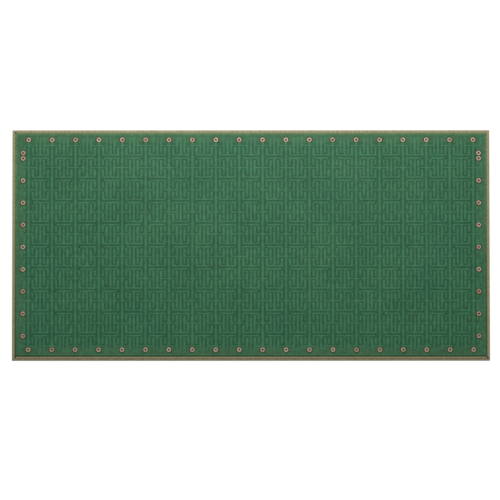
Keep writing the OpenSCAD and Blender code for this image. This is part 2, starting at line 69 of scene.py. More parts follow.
MM = 0.001
CAD_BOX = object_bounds()
BOARD = "board"
WEAVE_PER_METRE = 330.0
WHITE = (1.0, 1.0, 1.0, 1.0)

Point = tuple[float, float]
Triple = tuple[float, float, float]
Colour = tuple[float, float, float, float]
Ramp = tuple[float, float, float, float]  # Two values, and what a remap turns them into.
Material = bpy.types.Material
Node = bpy.types.Node
Piece = bpy.types.Object
Socket = bpy.types.NodeSocket
Tree = bpy.types.NodeTree
Source = Any  # A plain value for a socket, or the output socket that feeds it.


def srgb(red: int, green: int, blue: int) -> Colour:
    """Converts a display colour to the linear colour that shaders take.

    Args:
        red: Red from 0 to 255.
        green: Green from 0 to 255.
        blue: Blue from 0 to 255.

    Returns:
        The linear colour, opaque.
    """
    linear = [
        v / 12.92 if v <= 0.04045 else ((v + 0.055) / 1.055) ** 2.4
        for v in (red / 255, green / 255, blue / 255)
    ]
    return (*linear, 1.0)


# ---------- Node trees ----------
class Graph:
    """Adds nodes and links to one node tree with few words."""

    def __init__(self, tree: Tree) -> None:
        """Keeps the tree and where its next node goes."""
        self.tree = tree
        self.count = 0

    def add(self, kind: str, inputs: dict | None = None, **settings: Any) -> Node:
        """Adds a node.

        Args:
            kind: The node's type name.
            inputs: Values or output sockets by input name or number.
            settings: Properties of the node itself.

        Returns:
            The new node.
        """
        node = self.tree.nodes.new(kind)
        node.location = (180 * (self.count % 12), -240 * (self.count // 12))
        self.count += 1
        for key, value in settings.items():
            setattr(node, key, value)
        for key, value in (inputs or {}).items():
            self.feed(node.inputs[key], value)
        return node

    def feed(self, socket: Socket, value: Source) -> None:
        """Links a socket, or sets its value.

        Args:
            socket: The input socket.
            value: The output socket that feeds it, or its value.
        """
        if isinstance(value, Socket):
            self.tree.links.new(value, socket)
        else:
            socket.default_value = value

    def math(self, operation: str, a: Source, b: Source = 0.0) -> Socket:
        """Returns the output of a Math node on two values or sockets."""
        return self.add("ShaderNodeMath", {0: a, 1: b}, operation=operation).outputs[0]

    def remap(
        self, value: Source, low: float, high: float, to_low: float = 0.0, to_high: float = 1.0
    ) -> Socket:
        """Moves a value smoothly from one range to another, and holds it inside it.

        Args:
            value: The value.
            low: Value that becomes to_low.
            high: Value that becomes to_high.
            to_low: First end of the new range.
            to_high: Second end of the new range.

        Returns:
            The new value's socket.
        """
        node = self.add(
            "ShaderNodeMapRange",
            {0: value, 1: low, 2: high, 3: to_low, 4: to_high},
            interpolation_type="SMOOTHSTEP",
        )
        return node.outputs[0]

    def mix(self, factor: Source, a: Source, b: Source) -> Socket:
        """Mixes two colours.

        Args:
            factor: Share of the second colour, from 0 to 1.
            a: First colour.
            b: Second colour.

        Returns:
            The mixed colour's socket.
        """
        # A Mix node's colours are its inputs 6 and 7 and its output 2.
        node = self.add(
            "ShaderNodeMix", {0: factor, 6: a, 7: b}, data_type="RGBA", clamp_factor=True
        )
        return node.outputs[2]

    def noise(
        self, vector: Source, scale: Source, detail: float = 2.0, rough: float = 0.5
    ) -> Socket:
        """Adds a noise texture.

        Args:
            vector: Where it is read.
            scale: Its clouds to a metre.
            detail: How many finer layers it has.
            rough: How strong the finer layers are.

        Returns:
            The noise's socket, from 0 to 1.
        """
        node = self.add(
            "ShaderNodeTexNoise",
            {"Vector": vector, "Scale": scale, "Detail": detail, "Roughness": rough},
        )
        return node.outputs[0]

    def bump(
        self, height: Source, depth: Source, strength: Source, normal: Source = None
    ) -> Socket:
        """Raises a surface without moving it, by its normals.

        Args:
            height: Height of the surface, from 0 to 1.
            depth: Metres that a height of 1 stands for.
            strength: Share of it that shows.
            normal: Normal of the surface that is raised, if not the mesh's own.

        Returns:
            The normal's socket.
        """
        inputs = {"Strength": strength, "Distance": depth, "Height": height}
        if normal is not None:
            inputs["Normal"] = normal
        return self.add("ShaderNodeBump", inputs).outputs[0]


class Kind(Enum):
    """Kinds of socket on a group, by Blender's names."""

    NUMBER = "NodeSocketFloat"
    WHOLE = "NodeSocketInt"
    VECTOR = "NodeSocketVector"
    SHAPE = "NodeSocketGeometry"
    FINISH = "NodeSocketMaterial"
    OBJECT = "NodeSocketObject"


def open_group(
    name: str, tree_type: str, inputs: Sequence[tuple], outputs: Sequence[tuple]
) -> tuple[Graph, Node, Node]:
    """Starts a node group with named sockets.

    Args:
        name: Name of the group.
        tree_type: "ShaderNodeTree" or "GeometryNodeTree".
        inputs: Each input as (name, kind) or (name, kind, value).
        outputs: Each output as (name, kind).

    Returns:
        The graph, its input node and its output node.
    """
    tree = bpy.data.node_groups.new(name, tree_type)
    for label, kind, *value in inputs:
        socket = tree.interface.new_socket(name=label, in_out="INPUT", socket_type=kind.value)
        if value:
            socket.default_value = value[0]
    for label, kind in outputs:
        tree.interface.new_socket(name=label, in_out="OUTPUT", socket_type=kind.value)
    graph = Graph(tree)
    return graph, graph.add("NodeGroupInput"), graph.add("NodeGroupOutput")


# ---------- Effects shared by the finishes ----------
class Effects:
    """Shader groups that several finishes use, each built once.

    Attributes:
        cloud_band: Values of a noise that a cloud stretches to 0 and 1.
        yarn_band: Values of the added waves between which a yarn rises.
        yarn_waver: How far the yarns waver, how finely, and over what share of a yarn.
        wear_band: Lean of a bevelled normal at which an edge starts to be worn, and is fully.
        wear_break: Values of a noise between which the wear breaks off.
        wear_samples: Rays that look for an edge.
    """

    cloud_band: Point = (0.3, 0.7)
    yarn_band: Point = (0.6, 1.6)
    yarn_waver: Triple = (1.4, 2.0, 0.6)
    wear_band: Point = (0.99, 0.80)
    wear_break: Point = (0.35, 0.65)
    wear_samples: int = 4

    def __init__(self) -> None:
        """Builds the groups."""
        self.mottle = self._mottle()
        self.weave = self._weave()
        self.grain = self._grain()
        self.dust = self._dust()
        self.wear = self._wear()

    def _mottle(self) -> Tree:
        """Builds clouds of tone, broad and fine, as in a thin coat of resin.

        Returns:
            The group, whose outputs "Broad", "Fine" and "Hue" run from 0 to 1.
        """
        graph, start, end = open_group(
            "coat_mottle",
            "ShaderNodeTree",
            [("Vector", Kind.VECTOR), ("Broad Scale", Kind.NUMBER), ("Fine Scale", Kind.NUMBER)],
            [("Broad", Kind.NUMBER), ("Fine", Kind.NUMBER), ("Hue", Kind.NUMBER)],
        )
        for label, scale, detail, turn in (
            ("Broad", "Broad Scale", 3.0, 0.0),
            ("Fine", "Fine Scale", 2.0, 1.7),
            ("Hue", "Broad Scale", 4.0, 4.1),
        ):
            moved = graph.add(
                "ShaderNodeMapping",
                {"Vector": start.outputs["Vector"], "Location": (turn, turn * 2, turn)},
            )
            cloud = graph.noise(moved.outputs[0], start.outputs[scale], detail)
            graph.feed(end.inputs[label], graph.remap(cloud, *self.cloud_band))
        return graph.tree

    def _weave(self) -> Tree:
        """Builds the crossed glass yarns inside a laminate.

        Returns:
            The group, whose outputs "Yarn" and "Height" run from 0 to 1.
        """
        graph, start, end = open_group(
            "glass_weave",
            "ShaderNodeTree",
            [("Vector", Kind.VECTOR), ("Scale", Kind.NUMBER, WEAVE_PER_METRE)],
            [("Yarn", Kind.NUMBER), ("Height", Kind.NUMBER)],
        )
        distortion, detail, detail_scale = self.yarn_waver
        waves = []
        for direction in ("X", "Y"):
            wave = graph.add(
                "ShaderNodeTexWave",
                {"Vector": start.outputs["Vector"], "Scale": start.outputs["Scale"],
                 "Distortion": distortion, "Detail": detail, "Detail Scale": detail_scale},
                bands_direction=direction,
            )
            waves.append(wave.outputs["Fac"])
        crossed = graph.math("MULTIPLY", waves[0], waves[1])
        added = graph.math("ADD", waves[0], waves[1])
        graph.feed(end.inputs["Yarn"], graph.remap(added, *self.yarn_band))
        graph.feed(end.inputs["Height"], crossed)
        return graph.tree

    @staticmethod
    def _grain() -> Tree:
        """Builds a fine moulded or etched grain.

        Returns:
            The group, whose output "Normal" is the surface with the grain.
        """
        graph, start, end = open_group(
            "fine_grain",
            "ShaderNodeTree",
            [("Vector", Kind.VECTOR), ("Scale", Kind.NUMBER), ("Depth", Kind.NUMBER),
             ("Amount", Kind.NUMBER, 0.5)],
            [("Normal", Kind.VECTOR)],
        )
        grain = graph.noise(start.outputs["Vector"], start.outputs["Scale"], 3.0, 0.6)
        raised = graph.bump(grain, start.outputs["Depth"], start.outputs["Amount"])
        graph.feed(end.inputs["Normal"], raised)
        return graph.tree

    @staticmethod
    def _dust() -> Tree:
        """Builds sparse specks of dust.

        Returns:
            The group, whose output "Mask" is 1 in a speck and 0 elsewhere.
        """
        graph, start, end = open_group(
            "dust_specks",
            "ShaderNodeTree",
            [("Vector", Kind.VECTOR), ("Scale", Kind.NUMBER), ("Speck Size", Kind.NUMBER),
             ("Share", Kind.NUMBER)],
            [("Mask", Kind.NUMBER)],
        )
        cells = graph.add(
            "ShaderNodeTexVoronoi",
            {"Vector": start.outputs["Vector"], "Scale": start.outputs["Scale"]},
        )
        near = graph.math("LESS_THAN", cells.outputs["Distance"], start.outputs["Speck Size"])
        pick = graph.add("ShaderNodeSeparateColor", {0: cells.outputs["Color"]})
        kept = graph.math("LESS_THAN", pick.outputs[0], start.outputs["Share"])
        graph.feed(end.inputs["Mask"], graph.math("MULTIPLY", near, kept))
        return graph.tree

    def _wear(self) -> Tree:
        """Builds worn edges, broken up by grain.

        Returns:
            The group, whose output "Mask" rises to 1 along sharp edges.
        """
        graph, start, end = open_group(
            "edge_wear",
            "ShaderNodeTree",
            [("Vector", Kind.VECTOR), ("Width", Kind.NUMBER), ("Scale", Kind.NUMBER, 2500.0)],
            [("Mask", Kind.NUMBER)],
        )
        rounded = graph.add(
            "ShaderNodeBevel", {"Radius": start.outputs["Width"]}, samples=self.wear_samples
        )
        flat = graph.add("ShaderNodeNewGeometry")
        lean = graph.add(
            "ShaderNodeVectorMath",
            {0: rounded.outputs[0], 1: flat.outputs["Normal"]},
            operation="DOT_PRODUCT",
        )
        edge = graph.remap(lean.outputs["Value"], *self.wear_band)
        grain = graph.noise(start.outputs["Vector"], start.outputs["Scale"], 3.0)
        broken = graph.math("MULTIPLY", edge, graph.remap(grain, *self.wear_break))
        graph.feed(end.inputs["Mask"], broken)
        return graph.tree


class Finish:
    """A material under construction: its graph, its shader and its object coordinates."""

    def __init__(self, name: str, effects: Effects, metallic: float = 0.0) -> None:
        """Starts the material.

        Args:
            name: Name of the material.
            effects: The shared shader groups.
            metallic: The shader's metallic value.
        """
        self.material = bpy.data.materials.new(name)
        self.material.use_nodes = True
        self.material.node_tree.nodes.clear()
        self.effects = effects
        self.graph = Graph(self.material.node_tree)
        out = self.graph.add("ShaderNodeOutputMaterial")
        self.shader = self.graph.add("ShaderNodeBsdfPrincipled", {"Metallic": metallic})
        self.graph.feed(out.inputs["Surface"], self.shader.outputs[0])
        self.vector = self.graph.add("ShaderNodeTexCoord").outputs["Object"]

    def _group(self, tree: Tree, inputs: dict) -> Node:
        """Adds one of the shared groups, fed with object coordinates."""
        return self.graph.add(
            "ShaderNodeGroup", {"Vector": self.vector, **inputs}, node_tree=tree
        )

    def clouds(self, broad: float, fine: float) -> Node:
        """Adds clouds of tone, by the number of broad and of fine ones to a metre."""
        return self._group(self.effects.mottle, {"Broad Scale": broad, "Fine Scale": fine})

    def weave(self) -> Node:
        """Adds the weave of the laminate's glass."""
        return self._group(self.effects.weave, {"Scale": WEAVE_PER_METRE})

    def grain(self, scale: float, depth: float, amount: float) -> Socket:
        """Returns the normal of a grain, by its scale to a metre, depth in metres and share."""
        inputs = {"Scale": scale, "Depth": depth, "Amount": amount}
        return self._group(self.effects.grain, inputs).outputs["Normal"]

    def specks(self, cells: float, size: float, share: float) -> Socket:
        """Returns a mask of dust, by its cells to a metre, a speck's size and their share."""
        inputs = {"Scale": cells, "Speck Size": size, "Share": share}
        return self._group(self.effects.dust, inputs).outputs["Mask"]

    def wear(self, width: float) -> Socket:
        """Returns a mask of worn edges, by their width in metres."""
        return self._group(self.effects.wear, {"Width": width}).outputs["Mask"]

    def axis(self, name: str) -> Socket:
        """Returns one object coordinate."""
        return self.graph.add("ShaderNodeSeparateXYZ", {0: self.vector}).outputs[name]

    def outside(self, limits: Point, reach: float) -> Socket:
        """Builds a mask that rises from 0 to 1 across the outline of a centred rectangle.

        Args:
            limits: Half length and half width of the rectangle in millimetres.
            reach: Half the width of the rise in millimetres.

        Returns:
            The mask's socket.
        """
        bands = [
            self.graph.remap(
                self.graph.math("ABSOLUTE", self.axis(name)),
                (limit - reach) * MM, (limit + reach) * MM,
            )
            for name, limit in zip("XY", limits)
        ]
        return self.graph.math("MAXIMUM", *bands)

    def lay(self, base: Source, over: Source, mask: Source, share: float) -> Socket:
        """Returns a tone with another laid over a share of it where a mask is high."""
        return self.graph.mix(self.graph.math("MULTIPLY", mask, share), base, over)

    def set(self, socket: str, value: Source) -> None:
        """Sets or links one input of the shader."""
        self.graph.feed(self.shader.inputs[socket], value)

    def roughen(self, cloud: Source, least: float, greatest: float) -> None:
        """Lets the shader's roughness follow a cloud from one value to another."""
        self.set("Roughness", self.graph.remap(cloud, 0.0, 1.0, least, greatest))


@dataclass(frozen=True)
class MaskFinish:
    """Green solder mask.

    Attributes:
        name: Name of the material.
        tone: Colour of the coat over what lies under it.
        cool: The same where the coat leans towards blue.
        warm: The same where it leans towards brown.
        rim: Half length and half width in millimetres outside which the coat thins out.
            With None the coat is even, and the fields on rim and margin are unused.
        rim_reach: Half the width in millimetres of that change.
        rim_far_lit: Colour of the thin coat along the far long edge, with painted light:
            paler, as if lit from the far side.
        rim_near_shaded: Colour of the thin coat along the near long edge, with painted
            shade: darker, as if turned away from the light.
        rim_turn: Distance in millimetres off the middle at which those colours are pure.
        margin: Half length and half width in millimetres of the matrix. The coat is
            thicker, and so paler, outside them.
        margin_reach: Half the width in millimetres of that change.
        margin_tone: Colour of the coat outside the matrix.
        margin_share: How far the coat turns to that colour.
        clouds: Broad and fine clouds of tone to a metre.
        cool_share: From a cloud to the share of the cool colour.
        warm_share: From a cloud to the share of the warm colour.
        fine_shade: From a fine cloud to the lightness of the coat.
        broad_shade: From a broad cloud to the lightness of the coat.
        dust: Colour of dust on the coat.
        dust_share: How far a speck hides the coat.
        specks: Cells of dust to a metre, size of a speck in one, and their share.
        roughness: Least and greatest roughness of the coat.
        gloss: Strength of the coat's reflection, 0.5 for clear resin.
        relief: Depth in metres of the weave that prints through, and its share.
        grain: Scale to a metre, depth in metres and share of the coat's grain.
    """

    name: str
    tone: Colour
    cool: Colour
    warm: Colour
    rim: Point | None = None
    rim_reach: float = 0.2
    rim_far_lit: Colour = srgb(90, 109, 71)
    rim_near_shaded: Colour = srgb(52, 74, 44)
    rim_turn: float = 24.0
    margin: Point = (49.9, 23.0)
    margin_reach: float = 0.4
    margin_tone: Colour = srgb(70, 105, 73)
    margin_share: float = 0.5
    clouds: Point = (95.0, 900.0)
    cool_share: Ramp = (0.45, 1.0, 0.0, 0.45)
    warm_share: Ramp = (0.55, 1.0, 0.0, 0.3)
    fine_shade: Ramp = (0.0, 1.0, 0.88, 1.1)
    broad_shade: Ramp = (0.0, 1.0, 0.95, 1.05)
    dust: Colour = srgb(150, 160, 140)
    dust_share: float = 0.35
    specks: Triple = (420.0, 0.05, 0.05)
    roughness: Point = (0.45, 0.58)
    gloss: float = 0.1
    relief: Point = (0.000003, 0.5)
    grain: Triple = (3800.0, 0.000002, 0.5)

    def _tone(self, finish: Finish, clouds: Node) -> Socket:
        """Builds the colour of the clean coat.

        Args:
            finish: The material under construction.
            clouds: Its clouds of tone.

        Returns:
            The colour's socket.
        """
        graph = finish.graph
        blue = graph.remap(clouds.outputs["Hue"], *self.cool_share)
        brown = graph.remap(clouds.outputs["Broad"], *self.warm_share)
        hue = graph.mix(brown, graph.mix(blue, self.tone, self.cool), self.warm)
        if self.rim:
            margin = finish.outside(self.margin, self.margin_reach)
            hue = finish.lay(hue, self.margin_tone, margin, self.margin_share)
            # Painted light and shade: the thin coat at the board's edge goes from darker along the
            # near long edge to paler along the far one.
            far = graph.remap(finish.axis("Y"), -self.rim_turn * MM, self.rim_turn * MM)
            rim_painted_light = graph.mix(far, self.rim_near_shaded, self.rim_far_lit)
            hue = graph.mix(finish.outside(self.rim, self.rim_reach), hue, rim_painted_light)
        fine = graph.remap(clouds.outputs["Fine"], *self.fine_shade)
        broad = graph.remap(clouds.outputs["Broad"], *self.broad_shade)
        shade = graph.math("MULTIPLY", fine, broad)
        return graph.add("ShaderNodeHueSaturation", {"Value": shade, "Color": hue}).outputs[0]

    def build(self, effects: Effects) -> Material:
        """Builds the material.

        Args:
            effects: The shared shader groups.

        Returns:
            The material.
        """
        finish = Finish(self.name, effects)
        clouds = finish.clouds(*self.clouds)
        tone = self._tone(finish, clouds)
        dust = finish.specks(*self.specks)
        finish.set("Base Color", finish.lay(tone, self.dust, dust, self.dust_share))
        finish.roughen(clouds.outputs["Fine"], *self.roughness)
        weave = finish.weave().outputs["Height"]
        finish.set("Normal", finish.graph.bump(weave, *self.relief, finish.grain(*self.grain)))
        finish.set("Specular IOR Level", self.gloss)
        return finish.material


@dataclass(frozen=True)
class LaminateFinish:
    """Bare woven glass laminate with sawn edges.

    Attributes:
        name: Name of the material.
        resin: Colour of the face between yarns.
        yarn: Colour of the face over the yarns.
        clouds: Broad and fine clouds of tone to a metre.
        cloud: Colour of the fine clouds.
        cloud_share: How far a cloud hides the face.
        stain: Colour of the face beside the mask.
        stain_share: How far the stain hides the face.
        clean: Half length and half width in millimetres outside which no stain is left.
        clean_reach: Half the width in millimetres of that change.
        near_edge_shade: Colour of the painted shade along the near long edge.
        near_edge_shade_band: Where in millimetres the painted shade starts, and where it
            is full.
        near_edge_shade_share: How far the full painted shade hides the face.
        edge: Colour of a sawn edge.
        ply: Colour of the plies in it.
        plies_per_metre: Plies in a metre of thickness.
        ply_share: From the wave of plies to the share of their colour.
        streak: Colour of the saw's marks.
        streaks_per_metre: Marks to a metre of the edge.
        streak_stretch: How much closer the marks lie along each axis.
        streak_share: From the noise of marks to the share of their colour.
        flattest: Height of a face's normal under which it is a sawn edge.
        roughness: Least and greatest roughness.
        gloss: Strength of the reflection, 0.5 for clear resin.
        relief: Depth in metres of the weave, and its share.
        grain: Scale to a metre, depth in metres and share of the grain.
    """

    name: str = "bare_laminate"
    resin: Colour = srgb(136, 129, 96)
    yarn: Colour = srgb(150, 143, 111)
    clouds: Point = (130.0, 1500.0)
    cloud: Colour = srgb(118, 104, 72)
    cloud_share: float = 0.35
    stain: Colour = srgb(78, 104, 64)
    stain_share: float = 0.6
    clean: Point = (52.03, 25.33)
    clean_reach: float = 0.12
    near_edge_shade: Colour = srgb(94, 82, 50)
    near_edge_shade_band: Point = (-25.45, -25.62)
    near_edge_shade_share: float = 0.9
    edge: Colour = srgb(131, 118, 88)
    ply: Colour = srgb(162, 148, 114)
    plies_per_metre: float = 2400.0
    ply_share: Ramp = (-0.6, 0.9, 0.0, 0.6)
    streak: Colour = srgb(104, 90, 64)
    streaks_per_metre: float = 1400.0
    streak_stretch: Triple = (1.0, 1.0, 9.0)
    streak_share: Ramp = (0.35, 0.7, 0.0, 0.5)
    flattest: float = 0.5
    roughness: Point = (0.55, 0.8)
    gloss: float = 0.25
    relief: Point = (0.000008, 0.6)
    grain: Triple = (2600.0, 0.000006, 0.7)

    def _face(self, finish: Finish, yarn: Source, clouds: Source) -> Socket:
        """Builds the colour of the plate's two faces.

        Args:
            finish: The material under construction.
            yarn: Where the yarns lie.
            clouds: Where the fine clouds lie.

        Returns:
            The colour's socket.
        """
        graph = finish.graph
        face = graph.mix(yarn, self.resin, self.yarn)
        face = finish.lay(face, self.cloud, clouds, self.cloud_share)
        clean = finish.outside(self.clean, self.clean_reach)
        face = graph.mix(graph.remap(clean, 1.0, 0.0, 0.0, self.stain_share), face, self.stain)
        # Painted shade: the face turns darker brown towards the near long edge.
        start, full = self.near_edge_shade_band
        near = graph.remap(finish.axis("Y"), start * MM, full * MM, 0.0, self.near_edge_shade_share)
        return graph.mix(near, face, self.near_edge_shade)

    def _sawn(self, finish: Finish) -> Socket:
        """Builds the colour of the sawn edges.

        Args:
            finish: The material under construction.

        Returns:
            The colour's socket.
        """
        graph = finish.graph
        turns = graph.math("MULTIPLY", finish.axis("Z"), 2 * math.pi * self.plies_per_metre)
        plies = graph.remap(graph.math("SINE", turns), *self.ply_share)
        drawn = graph.add(
            "ShaderNodeMapping", {"Vector": finish.vector, "Scale": self.streak_stretch}
        )
        marks = graph.noise(drawn.outputs[0], self.streaks_per_metre, 4.0, 0.7)
        streaks = graph.remap(marks, *self.streak_share)
        return graph.mix(streaks, graph.mix(plies, self.edge, self.ply), self.streak)

    def build(self, effects: Effects) -> Material:
        """Builds the material.

        Args:
            effects: The shared shader groups.

        Returns:
            The material.
        """
        finish = Finish(self.name, effects)
        graph = finish.graph
        weave = finish.weave()
        clouds = finish.clouds(*self.clouds).outputs["Fine"]
        face = self._face(finish, weave.outputs["Yarn"], clouds)
        normal = graph.add("ShaderNodeNewGeometry").outputs["True Normal"]
        up = graph.add("ShaderNodeSeparateXYZ", {0: normal}).outputs["Z"]
        side = graph.math("LESS_THAN", graph.math("ABSOLUTE", up), self.flattest)
        finish.set("Base Color", graph.mix(side, face, self._sawn(finish)))
        finish.roughen(clouds, *self.roughness)
        height = weave.outputs["Height"]
        finish.set("Normal", graph.bump(height, *self.relief, finish.grain(*self.grain)))
        finish.set("Specular IOR Level", self.gloss)
        return finish.material


@dataclass(frozen=True)
class MetalFinish:
    """Tinned metal.

    Attributes:
        name: Name of the material.
        bright: Colour of the clean metal.
        dull: Colour where it has tarnished.
        roughness: Least and greatest roughness.
        metallic: The shader's metallic value.
        clouds: Broad and fine clouds of tone to a metre.
        tarnish_share: From a broad cloud to the share of the tarnished colour.
        wear_width: Width in metres of edges that are rubbed bright.
        wear_share: How far they are.
        grain: Scale to a metre, depth in metres and share of the grain.
    """

    name: str
    bright: Colour
    dull: Colour
    roughness: Point
    metallic: float = 1.0
    clouds: Point = (420.0, 4200.0)
    tarnish_share: Ramp = (0.35, 0.95, 0.0, 0.8)
    wear_width: float = 0.00005
    wear_share: float = 0.5
    grain: Triple = (6500.0, 0.0000025, 0.6)

    def _tone(self, finish: Finish, clouds: Source) -> Socket:
        """Builds the metal's colour.

        Args:
            finish: The material under construction.
            clouds: Where the broad clouds lie.

        Returns:
            The colour's socket.
        """
        graph = finish.graph
        tone = graph.mix(graph.remap(clouds, *self.tarnish_share), self.bright, self.dull)
        return finish.lay(tone, self.bright, finish.wear(self.wear_width), self.wear_share)

    def build(self, effects: Effects) -> Material:
        """Builds the material.

        Args:
            effects: The shared shader groups.

        Returns:
            The material.
        """
        finish = Finish(self.name, effects, self.metallic)
        clouds = finish.clouds(*self.clouds)
        finish.set("Base Color", self._tone(finish, clouds.outputs["Broad"]))
        finish.roughen(clouds.outputs["Fine"], *self.roughness)
        finish.set("Normal", finish.grain(*self.grain))
        return finish.material


@dataclass(frozen=True)
class PadFinish(MetalFinish):
    """Plated pad, whose mesh carries the attribute "rim": 0 at its hole and 1 at its rim.

    Attributes:
        wall: Colour of the hole's wall.
        wall_band: Values of "rim" where the wall's colour ends, and where it is pure.
        dark_ring: Colour of the dark ring round the pad, which isn't metal.
        dark_ring_band: Values of "rim" where the dark ring starts, and where it is pure.
        gloss: Strength of the dark ring's reflection, 0.5 for clear resin.
    """

    wall: Colour = srgb(120, 62, 38)
    wall_band: Point = (0.42, 0.12)
    dark_ring: Colour = srgb(54, 64, 38)
    dark_ring_band: Point = (0.95, 1.01)
    gloss: float = 0.15

    def _tone(self, finish: Finish, clouds: Source) -> Socket:
        """Builds the metal's colour with the wall and the film, and ends the metal there.

        Args:
            finish: The material under construction.
            clouds: Where the broad clouds lie.

        Returns:
            The colour's socket.
        """
        graph = finish.graph
        tone = super()._tone(finish, clouds)
        rim = graph.add("ShaderNodeAttribute", attribute_name="rim").outputs["Fac"]
        tone = graph.mix(graph.remap(rim, *self.wall_band), tone, self.wall)
        # A dark ring round the pad, on the mask beyond the front ring, where the metal ends.
        dark_ring = graph.remap(rim, *self.dark_ring_band)
        finish.set("Metallic", graph.remap(dark_ring, 0.0, 1.0, self.metallic, 0.0))
        finish.set("Specular IOR Level", self.gloss)
        return graph.mix(dark_ring, tone, self.dark_ring)


@dataclass(frozen=True)
class MouldedFinish:
    """Moulded resin, nylon or fired ceramic.

    Attributes:
        name: Name of the material.
        tone: Its colour.
        worn: Its colour along worn edges and under dust.
        roughness: Least and greatest roughness.
        shade: From a fine cloud to the lightness of the colour.
        grain: Scale to a metre, depth in metres and share of the grain.
        clouds: Broad and fine clouds of tone to a metre.
        wear_width: Width in metres of worn edges.
        wear_share: How far they are worn.
        specks: Cells of dust to a metre, size of a speck in one, and their share.
        dust_share: How far a speck hides the colour.
    """

    name: str
    tone: Colour
    worn: Colour
    roughness: Point = (0.42, 0.58)
    shade: Ramp = (0.0, 1.0, 0.82, 1.12)
    grain: Triple = (5200.0, 0.000004, 0.8)
    clouds: Point = (300.0, 5200.0)
    wear_width: float = 0.00007
    wear_share: float = 0.7
    specks: Triple = (1600.0, 0.09, 0.08)
    dust_share: float = 0.4

    def build(self, effects: Effects) -> Material:
        """Builds the material.

        Args:
            effects: The shared shader groups.

        Returns:
            The material.
        """
        finish = Finish(self.name, effects)
        graph = finish.graph
        clouds = finish.clouds(*self.clouds)
        shade = graph.remap(clouds.outputs["Fine"], *self.shade)
        level = graph.add("ShaderNodeHueSaturation", {"Value": shade, "Color": self.tone})
        wear = finish.wear(self.wear_width)
        tone = finish.lay(level.outputs[0], self.worn, wear, self.wear_share)
        dust = finish.specks(*self.specks)
        finish.set("Base Color", finish.lay(tone, self.worn, dust, self.dust_share))
        finish.roughen(clouds.outputs["Broad"], *self.roughness)
        finish.set("Normal", finish.grain(*self.grain))
        return finish.material


# ---------- Meshes ----------
def shrink_outline(
    outline: Sequence[Point], inset: float, sharpest: float = 0.4
) -> list[Point]:
    """Moves every side of a closed outline inwards.

    Args:
        outline: Corners, anticlockwise.
        inset: How far each side moves.
        sharpest: Squared length of the sum of a corner's two unit normals, below which
            the corner moves no further in.

    Returns:
        The corners of the smaller outline, one for each corner given.
    """
    moved = []
    count = len(outline)
    for k in range(count):
        before = Vector(outline[k - 1])
        here = Vector(outline[k])
        after = Vector(outline[(k + 1) % count])
        a = (here - before).normalized()
        b = (after - here).normalized()
        inward = Vector((-a.y, a.x)) + Vector((-b.y, b.x))
        reach = inset * 2.0 / max(inward.length_squared, sharpest)
        moved.append((here.x + inward.x * reach, here.y + inward.y * reach))
    return moved


def mirror_outline(outline: Sequence[Point]) -> list[Point]:
    """Returns an outline mirrored left to right, still anticlockwise."""
    return [(-x, y) for x, y in reversed(outline)]


def box_outline(x0: float, y0: float, x1: float, y1: float) -> list[Point]:
    """Returns the outline of a rectangle, anticlockwise."""
    return [(x0, y0), (x1, y0), (x1, y1), (x0, y1)]


@dataclass(frozen=True)
class Step:
    """Section of a land's edge, where the mask runs down from copper to laminate.

    Attributes:
        foot: Height of the land's foot in millimetres.
        rings: Each ring above the foot as (inset, height) in millimetres.
    """

    foot: float = -0.035
    rings: tuple[Point, ...] = ((0.012, -0.022), (0.04, -0.008), (0.085, -0.003))


def land_mesh(name: str, outlines: Iterable[Sequence[Point]], step: Step) -> bpy.types.Mesh:
    """Builds closed raised lands with softened shoulders.

    Args:
        name: Name of the mesh.
        outlines: The lands' outlines in millimetres, anticlockwise.
        step: Section of their edges.

    Returns:
        The mesh, in metres.
    """
    mesh = bpy.data.meshes.new(name)
    build = bmesh.new()
    for outline in outlines:
        rings = [[build.verts.new((x * MM, y * MM, step.foot * MM)) for x, y in outline]]
        for inset, height in step.rings:
            rings.append([
                build.verts.new((x * MM, y * MM, height * MM))
                for x, y in shrink_outline(outline, inset)
            ])
        count = len(outline)
        for low, high in zip(rings, rings[1:]):
            for k in range(count):
                n = (k + 1) % count
                build.faces.new((low[k], low[n], high[n], high[k])).smooth = True
        build.faces.new(rings[-1]).smooth = True
        build.faces.new(list(reversed(rings[0])))
    build.to_mesh(mesh)
    build.free()
    return mesh


def piece_from(mesh: bpy.types.Mesh, name: str) -> Piece:
    """Makes an object for a mesh, in the scene's collection.

    Args:
        mesh: The mesh.
        name: Name of the object.

    Returns:
        The object.
    """
    piece = bpy.data.objects.new(name, mesh)
    bpy.context.scene.collection.objects.link(piece)
    return piece


def settle(piece: Piece) -> Piece:
    """Turns a piece with a live node modifier into a plain mesh.

    Args:
        piece: The object with its modifier.

    Returns:
        The same object, with the result as its mesh and no modifier.
    """
    graph = bpy.context.evaluated_depsgraph_get()
    mesh = bpy.data.meshes.new_from_object(piece.evaluated_get(graph), depsgraph=graph)
    mesh.name = piece.name
    piece.modifiers.clear()
    old = piece.data
    piece.data = mesh
    bpy.data.meshes.remove(old)
    return piece


def apply_tree(piece: Piece, tree: Tree, values: dict) -> Piece:
    """Runs a geometry tree on a piece with the values given by input name.

    Args:
        piece: The object that feeds the tree.
        tree: The geometry tree.
        values: Input values by name.

    Returns:
        The piece as a plain mesh.
    """
    modifier = piece.modifiers.new(tree.name, "NODES")
    modifier.node_group = tree
    for item in tree.interface.items_tree:
        if item.item_type == "SOCKET" and item.in_out == "INPUT" and item.name in values:
            modifier[item.identifier] = values[item.name]
    piece.update_tag()
    bpy.context.view_layer.update()
    return settle(piece)


